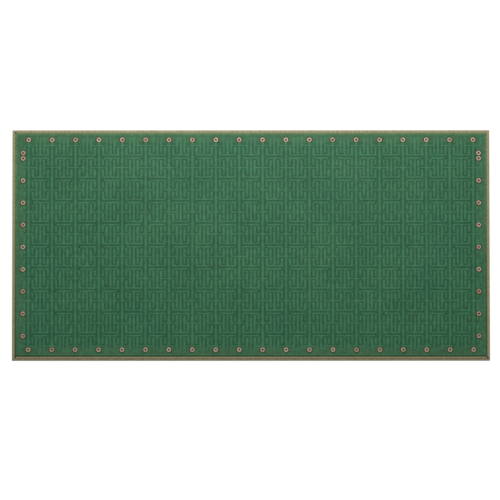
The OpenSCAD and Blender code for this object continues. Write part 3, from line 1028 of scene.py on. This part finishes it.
# ---------- Geometry trees ----------
class Repeats:
    """Geometry trees for what repeats over the board."""

    def __init__(self) -> None:
        """Builds the trees."""
        self.array = self._array()
        self.vias = self._vias()
        self.places = self._places()

    @staticmethod
    def _lattice(graph: Graph, start: Node) -> Socket:
        """Adds a centred lattice of points.

        Args:
            graph: The tree under construction.
            start: Its input node, which gives the counts and pitches.

        Returns:
            The socket of the points.
        """
        lines = []
        for count, pitch, axis in (
            ("Columns", "Column Pitch", "X"), ("Rows", "Row Pitch", "Y")
        ):
            gaps = graph.math("SUBTRACT", start.outputs[count], 1.0)
            first = graph.math(
                "MULTIPLY", graph.math("MULTIPLY", gaps, start.outputs[pitch]), -0.5
            )
            place = graph.add("ShaderNodeCombineXYZ", {axis: first})
            step = graph.add("ShaderNodeCombineXYZ", {axis: start.outputs[pitch]})
            line = graph.add(
                "GeometryNodeMeshLine",
                {"Count": start.outputs[count], "Start Location": place.outputs[0],
                 "Offset": step.outputs[0]},
            )
            lines.append(line.outputs[0])
        columns = graph.add(
            "GeometryNodeInstanceOnPoints", {"Points": lines[0], "Instance": lines[1]}
        )
        return graph.add("GeometryNodeRealizeInstances", {0: columns.outputs[0]}).outputs[0]

    @staticmethod
    def _close(graph: Graph, end: Node, shape: Source, finish: Source) -> None:
        """Ends a tree in Realize Instances and Set Material.

        Args:
            graph: The tree under construction.
            end: Its output node.
            shape: The instances.
            finish: Their material.
        """
        real = graph.add("GeometryNodeRealizeInstances", {0: shape})
        dressed = graph.add(
            "GeometryNodeSetMaterial", {"Geometry": real.outputs[0], "Material": finish}
        )
        graph.feed(end.inputs[0], dressed.outputs[0])

    def _array(self) -> Tree:
        """Builds a tree that repeats its own geometry on a centred lattice.

        Returns:
            The tree.
        """
        graph, start, end = open_group(
            "electrode_array",
            "GeometryNodeTree",
            [("Geometry", Kind.SHAPE), ("Columns", Kind.WHOLE), ("Column Pitch", Kind.NUMBER),
             ("Rows", Kind.WHOLE), ("Row Pitch", Kind.NUMBER), ("Finish", Kind.FINISH)],
            [("Geometry", Kind.SHAPE)],
        )
        lattice = self._lattice(graph, start)
        copies = graph.add(
            "GeometryNodeInstanceOnPoints",
            {"Points": lattice, "Instance": start.outputs["Geometry"]},
        )
        self._close(graph, end, copies.outputs[0], start.outputs["Finish"])
        return graph.tree

    def _vias(self) -> Tree:
        """Builds a tree for tented micro vias, a pair at each point of a centred lattice.

        Returns:
            The tree.
        """
        graph, start, end = open_group(
            "micro_vias",
            "GeometryNodeTree",
            [("Geometry", Kind.SHAPE), ("Columns", Kind.WHOLE), ("Column Pitch", Kind.NUMBER),
             ("Rows", Kind.WHOLE), ("Row Pitch", Kind.NUMBER), ("Reach", Kind.NUMBER),
             ("Drop", Kind.NUMBER), ("Level", Kind.NUMBER), ("Radius", Kind.NUMBER),
             ("Thickness", Kind.NUMBER), ("Facets", Kind.WHOLE), ("Smallest", Kind.NUMBER),
             ("Largest", Kind.NUMBER), ("Seed", Kind.WHOLE), ("Finish", Kind.FINISH)],
            [("Geometry", Kind.SHAPE)],
        )
        lattice = self._lattice(graph, start)
        disc = graph.add(
            "GeometryNodeMeshCylinder",
            {"Vertices": start.outputs["Facets"], "Radius": start.outputs["Radius"],
             "Depth": start.outputs["Thickness"]},
        )
        joined = graph.add("GeometryNodeJoinGeometry")
        for side in (-1.0, 1.0):
            reach = graph.math("MULTIPLY", start.outputs["Reach"], side)
            drop = graph.math("MULTIPLY", start.outputs["Drop"], -1.0)
            move = graph.add(
                "ShaderNodeCombineXYZ", {"X": reach, "Y": drop, "Z": start.outputs["Level"]}
            )
            shifted = graph.add(
                "GeometryNodeSetPosition", {"Geometry": lattice, "Offset": move.outputs[0]}
            )
            graph.feed(joined.inputs[0], shifted.outputs[0])
        size = self._random(graph, start, "Smallest", "Largest")
        scale = graph.add("ShaderNodeCombineXYZ", {"X": size, "Y": size, "Z": 1.0})
        dots = graph.add(
            "GeometryNodeInstanceOnPoints",
            {"Points": joined.outputs[0], "Instance": disc.outputs["Mesh"],
             "Scale": scale.outputs[0]},
        )
        self._close(graph, end, dots.outputs[0], start.outputs["Finish"])
        return graph.tree

    @staticmethod
    def _random(graph: Graph, start: Node, low: str, high: str) -> Socket:
        """Adds a random number, by the tree's input "Seed".

        Args:
            graph: The tree under construction.
            start: Its input node.
            low: Name of the input that gives the least number.
            high: Name of the input that gives the greatest number.

        Returns:
            The number's socket.
        """
        # A Random Value node's numbers are its inputs 2 and 3 and its output 1.
        node = graph.add(
            "FunctionNodeRandomValue",
            {2: start.outputs[low], 3: start.outputs[high], "Seed": start.outputs["Seed"]},
            data_type="FLOAT",
        )
        return node.outputs[1]

    def _places(self) -> Tree:
        """Builds a tree that puts a shape at each point it is given, each turned at random.

        Returns:
            The tree.
        """
        graph, start, end = open_group(
            "shape_at_places",
            "GeometryNodeTree",
            [("Geometry", Kind.SHAPE), ("Shape", Kind.OBJECT), ("Least Turn", Kind.NUMBER, 0.0),
             ("Most Turn", Kind.NUMBER, 2 * math.pi), ("Seed", Kind.WHOLE),
             ("Finish", Kind.FINISH)],
            [("Geometry", Kind.SHAPE)],
        )
        shape = graph.add("GeometryNodeObjectInfo", {"Object": start.outputs["Shape"]})
        turn = self._random(graph, start, "Least Turn", "Most Turn")
        angles = graph.add("ShaderNodeCombineXYZ", {"Z": turn})
        copies = graph.add(
            "GeometryNodeInstanceOnPoints",
            {"Points": start.outputs["Geometry"], "Instance": shape.outputs["Geometry"],
             "Rotation": angles.outputs[0]},
        )
        self._close(graph, end, copies.outputs[0], start.outputs["Finish"])
        return graph.tree


# ---------- The sensor matrix ----------
@dataclass(frozen=True)
class MatrixSizes:
    """Sizes of the sensor matrix in millimetres.

    Attributes:
        columns: Column electrodes along the board.
        rows: Row electrodes across it.
        column_pitch: From one column to the next.
        row_pitch: From one row to the next.
        drop: How far the matrix sits below the middle of the board.
        spine_half: Half the width of a column's spine.
        bar_half: Half the width of the bars that cross a spine.
        finger_inner: Near edge of a column's fingers from its spine's middle.
        finger_outer: Far edge of the same.
        finger_rise: From a row's middle to its fingers' upper ends.
        finger_fall: From a row's middle to its fingers' lower ends.
        stem_half: Half the width of an island's stem.
        island_half: From an island's middle to the ends of its bars.
        bar_near: From the middle of a row gap to the near edge of an island's bar.
        bar_far: From the middle of a row gap to the far edge of an island's bar.
        hook_inner: Inner edge of an island's hooks from its middle.
        hook_upper: From a row's middle up to the ends of the upper hooks.
        hook_lower: From a row's middle down to the ends of the lower hooks.
        last_drop: How far the last row's bars sit below their place in the lattice.
        pad_y: Middle of the columns' end pads.
        pad_x: Middle of the rows' end pads.
        row_pad_drop: From the middle of a row gap down to the row's end pads.
        first_pair: From the second row's end pads up to the first row's.
        pad_keepout: From a pad's middle to the nearest land that it doesn't belong to.
        finger_keepout: From a row pad's middle to the fingers' ends beside it.
        finger_overhang: The same for the ends of fingers that come from above it.
        spine_end: Where the spines end, at the pads.
        stem_end: Where the outer rows' stems end.
        outer_finger_end: Where the outer rows' fingers end.
        guard_x: Middle of the guard ring's short sides.
        guard_half: Half the width of the guard ring.
        guard_lap: How far a land that joins the guard ring runs into it.
        edge_lift: How much higher the bars beside the row pads start than the others.
    """

    columns: int = 20
    rows: int = 10
    column_pitch: float = 5.15
    row_pitch: float = 5.0
    drop: float = 0.14
    spine_half: float = 0.23
    bar_half: float = 0.135
    finger_inner: float = 1.53
    finger_outer: float = 1.97
    finger_rise: float = 1.74
    finger_fall: float = 1.70
    stem_half: float = 0.22
    island_half: float = 1.89
    bar_near: float = 0.205
    bar_far: float = 0.53
    hook_inner: float = 1.45
    hook_upper: float = 0.48
    hook_lower: float = 0.40
    last_drop: float = 0.17
    pad_y: float = 23.65
    pad_x: float = 50.15
    row_pad_drop: float = 0.41
    first_pair: float = 1.2
    pad_keepout: float = 0.70
    finger_keepout: float = 1.05
    finger_overhang: float = 1.5
    spine_end: float = 23.07
    stem_end: float = 24.3
    outer_finger_end: float = 24.2
    guard_x: float = 51.4
    guard_half: float = 0.125
    guard_lap: float = 0.02
    edge_lift: float = 0.02

    def row_y(self, row: int) -> float:
        """Returns the middle of a row, counted from the top."""
        return ((self.rows - 1) / 2 - row) * self.row_pitch - self.drop

    def gap_y(self, row: int) -> float:
        """Returns the middle of the gap above a row."""
        return self.row_y(row) + self.row_pitch / 2

    def column_x(self, column: int) -> float:
        """Returns the middle of a column, counted from the left."""
        return (column - (self.columns - 1) / 2) * self.column_pitch

    def row_pad_y(self, row: int) -> float:
        """Finds the middle of a row's end pads.

        Args:
            row: The row, counted from the top.

        Returns:
            Its distance from the middle of the board.
        """
        if row == 0:
            return self.row_pad_y(1) + self.first_pair
        return self.gap_y(row) - self.row_pad_drop


@dataclass
class SensorMatrix:
    """The interleaved column and row electrodes, drawn as lands under the mask."""

    sizes: MatrixSizes = field(default_factory=MatrixSizes)
    step: Step = field(default_factory=Step)

    def _teeth(self, edge: bool) -> list[Point]:
        """Draws the right side of a column from the bottom up.

        Args:
            edge: Whether row pads stand beside it and break its fingers.

        Returns:
            Corners relative to the middle of the column.
        """
        s = self.sizes
        points: list[Point] = []
        for row in range(s.rows - 1, -1, -1):
            y = s.row_y(row)
            low, high = y - s.finger_fall, y + s.finger_rise
            if row == s.rows - 1:
                low = -s.outer_finger_end
                y -= s.last_drop
            if row == 0:
                high = s.outer_finger_end
            if edge:
                pad = s.row_pad_y(row)
                if row > 0:
                    high = min(high, pad - s.finger_keepout)
                    if row < s.rows - 1:
                        low = max(low, s.row_pad_y(row + 1) + s.finger_overhang)
                else:
                    low = max(low, pad + s.finger_keepout)
            points += [
                (s.spine_half, y - s.bar_half), (s.finger_inner, y - s.bar_half),
                (s.finger_inner, low), (s.finger_outer, low),
                (s.finger_outer, high), (s.finger_inner, high),
                (s.finger_inner, y + s.bar_half), (s.spine_half, y + s.bar_half),
            ]
        return points

    def _column(self, edge: bool) -> list[Point]:
        """Draws a whole column about its own middle.

        Args:
            edge: Whether row pads stand on its right.

        Returns:
            Its corners, anticlockwise.
        """
        s = self.sizes
        foot = [(-s.spine_half, -s.spine_end), (s.spine_half, -s.spine_end)]
        head = [(s.spine_half, s.spine_end), (-s.spine_half, s.spine_end)]
        return foot + self._teeth(edge) + head + mirror_outline(self._teeth(False))

    def _island(self) -> list[Point]:
        """Draws an inner island, set off from its place in the lattice by the drop.

        Returns:
            Its corners, anticlockwise.
        """
        s = self.sizes
        bar, far = s.row_pitch / 2 - s.bar_near, s.row_pitch / 2 - s.bar_far
        half, hook, stem = s.island_half, s.hook_inner, s.stem_half
        right = [
            (half, -bar), (half, -s.hook_lower), (hook, -s.hook_lower), (hook, -far),
            (stem, -far), (stem, far), (hook, far), (hook, s.hook_upper),
            (half, s.hook_upper), (half, bar),
        ]
        return [(x, y - s.drop) for x, y in right + mirror_outline(right)]

    def _end_island(self, top: bool) -> list[Point]:
        """Draws an island of the first or the last row, which has only its inner bar.

        Args:
            top: Whether it is one of the first row.

        Returns:
            Its corners, anticlockwise.
        """
        s = self.sizes
        half, hook, stem = s.island_half, s.hook_inner, s.stem_half
        if top:
            side, gap, tip = 1, s.gap_y(1), s.row_y(0) - s.hook_lower
        else:
            side, gap = -1, s.gap_y(s.rows - 1)
            tip = s.row_y(s.rows - 1) + s.hook_upper - s.last_drop
        bar, far = gap + side * s.bar_near, gap + side * s.bar_far
        right = [
            (half, bar), (half, tip), (hook, tip), (hook, far), (stem, far),
            (stem, side * s.stem_end),
        ]
        right = right[::side]
        return right + mirror_outline(right)

    def _edge_lands(self) -> list[list[Point]]:
        """Draws the half islands beside the row pads, at both ends of the board.

        Returns:
            Their outlines, anticlockwise.
        """
        s = self.sizes
        spine = s.column_x(s.columns - 1)
        near = spine + s.column_pitch / 2 - s.island_half
        hook = spine + s.column_pitch / 2 - s.hook_inner
        root = s.guard_x - s.guard_half + s.guard_lap
        lands = []
        for row in range(s.rows):
            y, pad = s.row_y(row), s.row_pad_y(row)
            low_gap, high_gap = s.gap_y(row + 1), s.gap_y(row)
            clear = s.pad_x + s.pad_keepout
            if row == 0:
                lands.append(box_outline(clear, low_gap + s.bar_near, root, low_gap + s.bar_far))
                lands.append(box_outline(near, pad + s.pad_keepout, hook, y - s.hook_lower))
                continue
            lands.append(box_outline(clear, high_gap - s.bar_far, root, high_gap - s.bar_near))
            lands.append(box_outline(near, y + s.hook_upper, hook, pad - s.pad_keepout))
            if row < s.rows - 1:
                base = low_gap + s.bar_near + s.edge_lift
                lands.append([
                    (near, base), (root, base),
                    (root, low_gap + s.bar_far), (hook, low_gap + s.bar_far),
                    (hook, y - s.hook_lower), (near, y - s.hook_lower),
                ])
        return lands + [mirror_outline(land) for land in lands]

    def build(self, repeats: Repeats, coat: Material) -> list[Piece]:
        """Builds the electrodes.

        Args:
            repeats: The geometry trees.
            coat: Finish of coated copper.

        Returns:
            The pieces, each replacing its node.
        """
        s = self.sizes
        pieces = []
        last = s.column_x(s.columns - 1)
        outer = [(x + last, y) for x, y in self._column(True)]
        for name, outlines, columns, rows, node in (
            ("inner_columns", [self._column(False)], s.columns - 2, 1, "column_electrodes"),
            ("outer_columns", [outer, mirror_outline(outer)], 1, 1, "column_electrodes"),
            ("inner_islands", [self._island()], s.columns - 1, s.rows - 2, "row_electrodes"),
            ("first_row_islands", [self._end_island(True)], s.columns - 1, 1, "row_electrodes"),
            ("last_row_islands", [self._end_island(False)], s.columns - 1, 1, "row_electrodes"),
            ("edge_half_islands", self._edge_lands(), 1, 1, "row_electrodes"),
        ):
            piece = piece_from(land_mesh(name, outlines, self.step), name)
            apply_tree(piece, repeats.array, {
                "Columns": columns, "Column Pitch": s.column_pitch * MM,
                "Rows": rows, "Row Pitch": s.row_pitch * MM, "Finish": coat,
            })
            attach(piece, BOARD)
            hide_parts(node)
            pieces.append(piece)
        return pieces


@dataclass
class MicroVias:
    """Tented micro vias in the corners of the islands.

    Attributes:
        sizes: Sizes of the matrix.
        reach: From an island's middle sideways to a via, in millimetres.
        drop: From the middle of a row gap down to a via.
        level: Height of a via's middle.
        radius: Radius of a via before it is scaled.
        thickness: Its thickness.
        facets: Facets round it.
        smallest: Least scale of a via.
        largest: Greatest scale of a via.
        seed: Seed of the scales.
    """

    sizes: MatrixSizes = field(default_factory=MatrixSizes)
    reach: float = 1.675
    drop: float = 0.59
    level: float = -0.004
    radius: float = 0.16
    thickness: float = 0.006
    facets: int = 10
    smallest: float = 0.3
    largest: float = 1.25
    seed: int = 7

    def build(self, repeats: Repeats, coat: Material) -> Piece:
        """Builds the vias.

        Args:
            repeats: The geometry trees.
            coat: Finish of the mask over a via.

        Returns:
            The piece.
        """
        s = self.sizes
        piece = piece_from(bpy.data.meshes.new("micro_vias"), "micro_vias")
        apply_tree(piece, repeats.vias, {
            "Columns": s.columns - 1, "Column Pitch": s.column_pitch * MM,
            "Rows": s.rows - 1, "Row Pitch": s.row_pitch * MM,
            "Reach": self.reach * MM, "Drop": self.drop * MM, "Level": self.level * MM,
            "Radius": self.radius * MM, "Thickness": self.thickness * MM,
            "Facets": self.facets, "Smallest": self.smallest, "Largest": self.largest,
            "Seed": self.seed, "Finish": coat,
        })
        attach(piece, BOARD)
        return piece


def place_shape(
    name: str, places: Iterable[Sequence[float]], shape: Piece, seed: int,
    finish: Material, repeats: Repeats,
) -> Piece:
    """Makes one piece of a shape repeated at places, each copy turned at random.

    Args:
        name: Name of the piece.
        places: Where the copies stand, in millimetres.
        shape: The shape.
        seed: Seed of the turns.
        finish: The copies' finish.
        repeats: The geometry trees.

    Returns:
        The piece.
    """
    mesh = bpy.data.meshes.new(name)
    mesh.from_pydata([[value * MM for value in place] for place in places], [], [])
    values = {"Shape": shape, "Seed": seed, "Finish": finish}
    return apply_tree(piece_from(mesh, name), repeats.places, values)


@dataclass
class PlatedPads:
    """Plated pads with open holes.

    Attributes:
        sizes: Sizes of the matrix.
        hole: Radius of the hole in millimetres.
        rim: Radius of the front ring.
        rear_rim: Radius of the rear ring.
        barrel: Outer radius of the plating in the hole.
        front: Height of the laminate's front face.
        rear: Height of its rear face.
        copper: Thickness of the copper.
        dark_ring: Outer radius of the dark ring that lies on the mask round the front ring.
        dark_ring_foot: Height of the dark ring's underside above the laminate.
        dark_ring_top: Height of its upper side at its outer edge.
        collar: Inner end of the dark ring as (distance from the rim, height above the laminate).
        shoulder: Rounded rim as (distance from the rim, height from the ring's top).
        mouth: Rounded hole as (distance from the hole, height from the ring's top).
        rear_mouth: The same at the rear, from the rear ring's face.
        rear_shoulder: Rounded rear rim as (distance from the rear rim, height from its face).
        facets: Facets round a pad.
        seed: Seed of the pads' turns.
    """

    sizes: MatrixSizes = field(default_factory=MatrixSizes)
    hole: float = 0.175
    rim: float = 0.505
    rear_rim: float = 0.4
    barrel: float = 0.205
    front: float = -0.055
    rear: float = -1.655
    copper: float = 0.035
    dark_ring: float = 0.74
    dark_ring_foot: float = 0.01
    dark_ring_top: float = 0.021
    collar: tuple[Point, ...] = ((0.06, 0.022), (0.03, 0.012))
    shoulder: tuple[Point, ...] = ((0.0, -0.012), (-0.02, -0.003), (-0.07, 0.0))
    mouth: tuple[Point, ...] = ((0.09, 0.0), (0.03, -0.006), (0.0, -0.03))
    rear_mouth: tuple[Point, ...] = ((0.0, 0.02), (0.03, 0.0))
    rear_shoulder: tuple[Point, ...] = ((-0.04, 0.0), (0.0, 0.012))
    facets: int = 28
    seed: int = 3

    def _section(self) -> list[Point]:
        """Draws a pad's closed section, from the barrel outwards and round.

        Returns:
            Its corners as (radius, height) in millimetres.
        """
        top, low = self.front + self.copper, self.rear - self.copper
        section = [
            (self.barrel, self.front), (self.dark_ring, self.front + self.dark_ring_foot),
            (self.dark_ring, self.front + self.dark_ring_top),
        ]
        for radius, height, points in (
            (self.rim, self.front, self.collar), (self.rim, top, self.shoulder),
            (self.hole, top, self.mouth), (self.hole, low, self.rear_mouth),
            (self.rear_rim, low, self.rear_shoulder),
        ):
            section += [(radius + out, height + up) for out, up in points]
        return section + [(self.rear_rim, self.rear), (self.barrel, self.rear)]

    def _shape(self) -> Piece:
        """Builds one pad with its attribute "rim".

        Returns:
            The pad, to be repeated.
        """
        mesh = bpy.data.meshes.new("plated_pad")
        build = bmesh.new()
        layer = build.verts.layers.float.new("rim")
        section = self._section()
        rings = []
        for k in range(self.facets):
            angle = 2 * math.pi * k / self.facets
            ring = []
            for radius, height in section:
                vert = build.verts.new(
                    (radius * math.cos(angle) * MM, radius * math.sin(angle) * MM, height * MM)
                )
                vert[layer] = (radius - self.hole) / (self.rim - self.hole)
                ring.append(vert)
            rings.append(ring)
        for k in range(self.facets):
            here, following = rings[k], rings[(k + 1) % self.facets]
            for n in range(len(section)):
                m = (n + 1) % len(section)
                build.faces.new((here[n], following[n], following[m], here[m])).smooth = True
        bmesh.ops.recalc_face_normals(build, faces=build.faces)
        build.to_mesh(mesh)
        build.free()
        return piece_from(mesh, "plated_pad_shape")

    def build(self, repeats: Repeats, metal: Material) -> list[Piece]:
        """Builds the pads.

        Args:
            repeats: The geometry trees.
            metal: Finish of the plating.

        Returns:
            The pieces, one for each node.
        """
        s = self.sizes
        shape = self._shape()
        columns = [(s.column_x(k), y, 0.0) for k in range(s.columns) for y in (s.pad_y, -s.pad_y)]
        rows = [(x, s.row_pad_y(k), 0.0) for k in range(s.rows) for x in (-s.pad_x, s.pad_x)]
        pieces = []
        for name, places, node in (
            ("column_end_pads", columns, "column_pads"), ("row_end_pads", rows, "row_pads")
        ):
            piece = place_shape(name, places, shape, self.seed, metal, repeats)
            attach(piece, BOARD)
            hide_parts(node)
            pieces.append(piece)
        bpy.data.objects.remove(shape)
        return pieces


@dataclass
class CornerMarks:
    """Tiny dark marks where the mask's corners were set out.

    Attributes:
        places: Middle of each mark in millimetres.
        radius: Radius of a mark's underside.
        taper: Share of that radius that its top has.
        thickness: Thickness of a mark.
        facets: Facets round it.
        seed: Seed of the marks' turns.
    """

    places: tuple[Triple, ...] = (
        (-51.8, 25.25, -0.045), (-51.8, -25.25, -0.045), (52.0, -25.3, -0.045)
    )
    radius: float = 0.21
    taper: float = 0.8
    thickness: float = 0.024
    facets: int = 12
    seed: int = 5

    def build(self, repeats: Repeats, coat: Material) -> Piece:
        """Builds the marks.

        Args:
            repeats: The geometry trees.
            coat: Finish of a mark.

        Returns:
            The piece.
        """
        mesh = bpy.data.meshes.new("corner_mark")
        build = bmesh.new()
        bmesh.ops.create_cone(
            build, cap_ends=True, segments=self.facets, radius1=self.radius * MM,
            radius2=self.radius * self.taper * MM, depth=self.thickness * MM,
        )
        build.to_mesh(mesh)
        build.free()
        shape = piece_from(mesh, "corner_mark_shape")
        piece = place_shape("corner_marks", self.places, shape, self.seed, coat, repeats)
        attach(piece, BOARD)
        bpy.data.objects.remove(shape)
        return piece


# ---------- Carried-over pieces ----------
@dataclass
class Dressing:
    """Gives the nodes that keep their shape their finishes.

    Attributes:
        materials: Material by slot.
    """

    materials: dict[str, Material]

    def dress(self) -> None:
        """Puts a finish on every node that the record names."""
        for part in frame["record"]["subparts"]:
            node = frame["nodes"][part["node"]]
            finish = self.materials[part["material_slot"]]
            node.data.materials.clear()
            node.data.materials.append(finish)
            log.info("%s wears %s", part["node"], finish.name)


# ---------- Studio ----------
@dataclass(frozen=True)
class Lamp:
    """A soft square lamp that points at the board's middle.

    Attributes:
        name: Name of the lamp.
        place: Where it hangs, in metres.
        size: Length of its side in metres.
        watts: Its power.
    """

    name: str
    place: Triple
    size: float
    watts: float

    def hang(self) -> None:
        """Adds the lamp to the scene, out of the camera's sight."""
        data = bpy.data.lights.new(self.name, "AREA")
        data.shape = "SQUARE"
        data.size = self.size
        data.energy = self.watts
        lamp = bpy.data.objects.new(self.name, data)
        bpy.context.scene.collection.objects.link(lamp)
        lamp.location = self.place
        lamp.rotation_euler = (-lamp.location).to_track_quat("-Z", "Y").to_euler()
        lamp.visible_camera = False


@dataclass
class Studio:
    """Floor, lamps and camera.

    Attributes:
        tilt: Angle of the view off straight down, in degrees.
        roll: Turn of the board in the view, in degrees.
        distance: From the camera to what it looks at, in metres.
        lens: Focal length in millimetres.
        sensor: Width of the sensor in millimetres.
        clip: Nearest and farthest distance that the camera shows, in metres.
        aim: Point on the board that the camera looks at, in millimetres.
        surround: Strength of the surround's light.
        floor_gap: From the board's lowest point down to the floor, in millimetres.
        floor_reach: From the middle of the floor to its sides, in metres.
        floor_tone: Share of light that the floor gives back.
        floor_glow: Strength of the light that makes the floor show white.
        floor_glow_share: Share of that light in how the floor looks.
        lamps: The lamps.
    """

    tilt: float = 12.5
    roll: float = 0.02
    distance: float = 3.668
    lens: float = 1201.0
    sensor: float = 36.0
    clip: Point = (0.05, 20.0)
    aim: Triple = (-0.2, -1.215, 0.0)
    surround: float = 0.22
    floor_gap: float = 0.03
    floor_reach: float = 3.0
    floor_tone: float = 0.9
    floor_glow: float = 1.08
    floor_glow_share: float = 0.92
    lamps: tuple[Lamp, ...] = (
        Lamp("key_lamp", (0.0, 0.10, 0.12), 0.1, 0.285),
        Lamp("fill_lamp", (-0.4, -0.5, 0.8), 0.6, 1.1),
        Lamp("lower_lamp", (0.05, -0.05, -0.4), 0.5, 1.45),
    )

    @staticmethod
    def direct(graph: Graph, path: Node) -> Socket:
        """Tells the rays that show the surround: straight, mirrored or through glass.

        Args:
            graph: The tree under construction.
            path: Its Light Path node.

        Returns:
            A socket that is 1 for those rays and 0 for others.
        """
        mirrored = graph.math(
            "MAXIMUM", path.outputs["Is Camera Ray"], path.outputs["Is Glossy Ray"]
        )
        return graph.math("MAXIMUM", mirrored, path.outputs["Is Transmission Ray"])

    def floor(self) -> None:
        """Lays a pale floor that shows white from above and keeps the shadow.

        It is clear from below, so that the rear of the board can be looked at.
        """
        low, reach = CAD_BOX[0].z - self.floor_gap * MM, self.floor_reach
        corners = [(x, y, low) for x, y in box_outline(-reach, -reach, reach, reach)]
        mesh = bpy.data.meshes.new("floor")
        mesh.from_pydata(corners, [], [(0, 1, 2, 3)])
        floor = piece_from(mesh, "floor")
        material = bpy.data.materials.new("pale_floor")
        material.use_nodes = True
        material.node_tree.nodes.clear()
        graph = Graph(material.node_tree)
        grey = (self.floor_tone,) * 3 + (1.0,)
        paper = graph.add("ShaderNodeBsdfDiffuse", {"Color": grey})
        light = graph.add("ShaderNodeEmission", {"Color": WHITE, "Strength": self.floor_glow})
        path = graph.add("ShaderNodeLightPath")
        seen = graph.math("MULTIPLY", self.direct(graph, path), self.floor_glow_share)
        top = graph.add("ShaderNodeMixShader", {0: seen, 1: paper.outputs[0], 2: light.outputs[0]})
        facing = graph.add("ShaderNodeNewGeometry")
        unseen = graph.math("MAXIMUM", facing.outputs["Backfacing"], path.outputs["Is Shadow Ray"])
        clear = graph.add("ShaderNodeBsdfTransparent")
        both = graph.add("ShaderNodeMixShader", {0: unseen, 1: top.outputs[0], 2: clear.outputs[0]})
        graph.add("ShaderNodeOutputMaterial", {"Surface": both.outputs[0]})
        floor.data.materials.append(material)

    def world(self) -> None:
        """Sets a plain pale surround."""
        world = bpy.data.worlds.new("surround")
        world.use_nodes = True
        world.node_tree.nodes.clear()
        graph = Graph(world.node_tree)
        path = graph.add("ShaderNodeLightPath")
        level = graph.remap(self.direct(graph, path), 0.0, 1.0, self.surround, 1.0)
        light = graph.add("ShaderNodeBackground", {"Color": WHITE, "Strength": level})
        graph.add("ShaderNodeOutputWorld", {"Surface": light.outputs[0]})
        bpy.context.scene.world = world

    def camera(self) -> None:
        """Places the camera over the board, leaning towards its near long edge."""
        data = bpy.data.cameras.new("view")
        data.lens = self.lens
        data.sensor_width = self.sensor
        data.clip_start, data.clip_end = self.clip
        camera = bpy.data.objects.new("view", data)
        bpy.context.scene.collection.objects.link(camera)
        lean = math.radians(self.tilt)
        target = Vector(self.aim) * MM
        back = Vector((0.0, -math.sin(lean), math.cos(lean)))
        camera.location = target + back * self.distance
        turn = Matrix.Rotation(lean, 4, "X") @ Matrix.Rotation(math.radians(-self.roll), 4, "Z")
        camera.rotation_euler = turn.to_euler()
        bpy.context.scene.camera = camera

    def build(self) -> None:
        """Sets the whole studio up."""
        bpy.context.scene.view_settings.view_transform = "Standard"
        self.floor()
        self.world()
        for lamp in self.lamps:
            lamp.hang()
        self.camera()


def finishes() -> dict[str, MaskFinish | LaminateFinish | MetalFinish | MouldedFinish]:
    """Lists the finishes.

    Returns:
        Each finish by its slot in the record, and two that only pieces made here wear.
    """
    return {
        "laminate": LaminateFinish(),
        "solder_mask": MaskFinish(
            "mask_on_laminate", srgb(35, 86, 56), srgb(31, 86, 60), srgb(42, 85, 54),
            rim=(51.55, 24.83),
        ),
        "tented_via": MaskFinish(
            "mask_on_via", srgb(12, 56, 32), srgb(12, 56, 38), srgb(20, 54, 30)
        ),
        "corner_mark": MaskFinish(
            "mask_in_corner", srgb(22, 28, 12), srgb(20, 27, 16), srgb(28, 26, 12)
        ),
        "coated_copper": MaskFinish(
            "mask_on_copper", srgb(59, 104, 75), srgb(55, 104, 79), srgb(66, 103, 74)
        ),
        "pad_copper": PadFinish(
            "plated_copper", srgb(146, 137, 118), srgb(124, 112, 92), (0.39, 0.61),
            metallic=0.35,
        ),
        "tinned_metal": MetalFinish(
            "reflowed_tin", srgb(205, 205, 200), srgb(160, 160, 156), (0.26, 0.48)
        ),
        "package_black": MouldedFinish(
            "moulded_black_resin", srgb(34, 34, 37), srgb(92, 92, 94), (0.54, 0.7)
        ),
        "ceramic": MouldedFinish(
            "fired_ceramic", srgb(150, 124, 96), srgb(190, 170, 146),
            shade=(0.0, 1.0, 0.856, 1.096), grain=(7000.0, 0.000002, 0.8),
        ),
        "connector_ivory": MouldedFinish(
            "ivory_nylon", srgb(214, 206, 186), srgb(232, 226, 210),
            shade=(0.0, 1.0, 0.964, 1.024),
        ),
        "slider_brown": MouldedFinish(
            "brown_nylon", srgb(84, 64, 50), srgb(140, 116, 96),
            shade=(0.0, 1.0, 0.916, 1.056),
        ),
    }


def main() -> None:
    """Builds every piece in order, and the studio round them."""
    logging.basicConfig(level=logging.INFO, format="%(name)s: %(message)s")
    effects = Effects()
    repeats = Repeats()
    materials = {slot: finish.build(effects) for slot, finish in finishes().items()}
    Dressing(materials).dress()
    pieces = SensorMatrix().build(repeats, materials["coated_copper"])
    pieces.append(MicroVias().build(repeats, materials["tented_via"]))
    pieces.append(CornerMarks().build(repeats, materials["corner_mark"]))
    pieces += PlatedPads().build(repeats, materials["pad_copper"])
    for piece in pieces:
        log.info("%s: %d faces", piece.name, len(piece.data.polygons))
    Studio().build()
    bpy.context.view_layer.update()


if __name__ == "__main__":
    main()
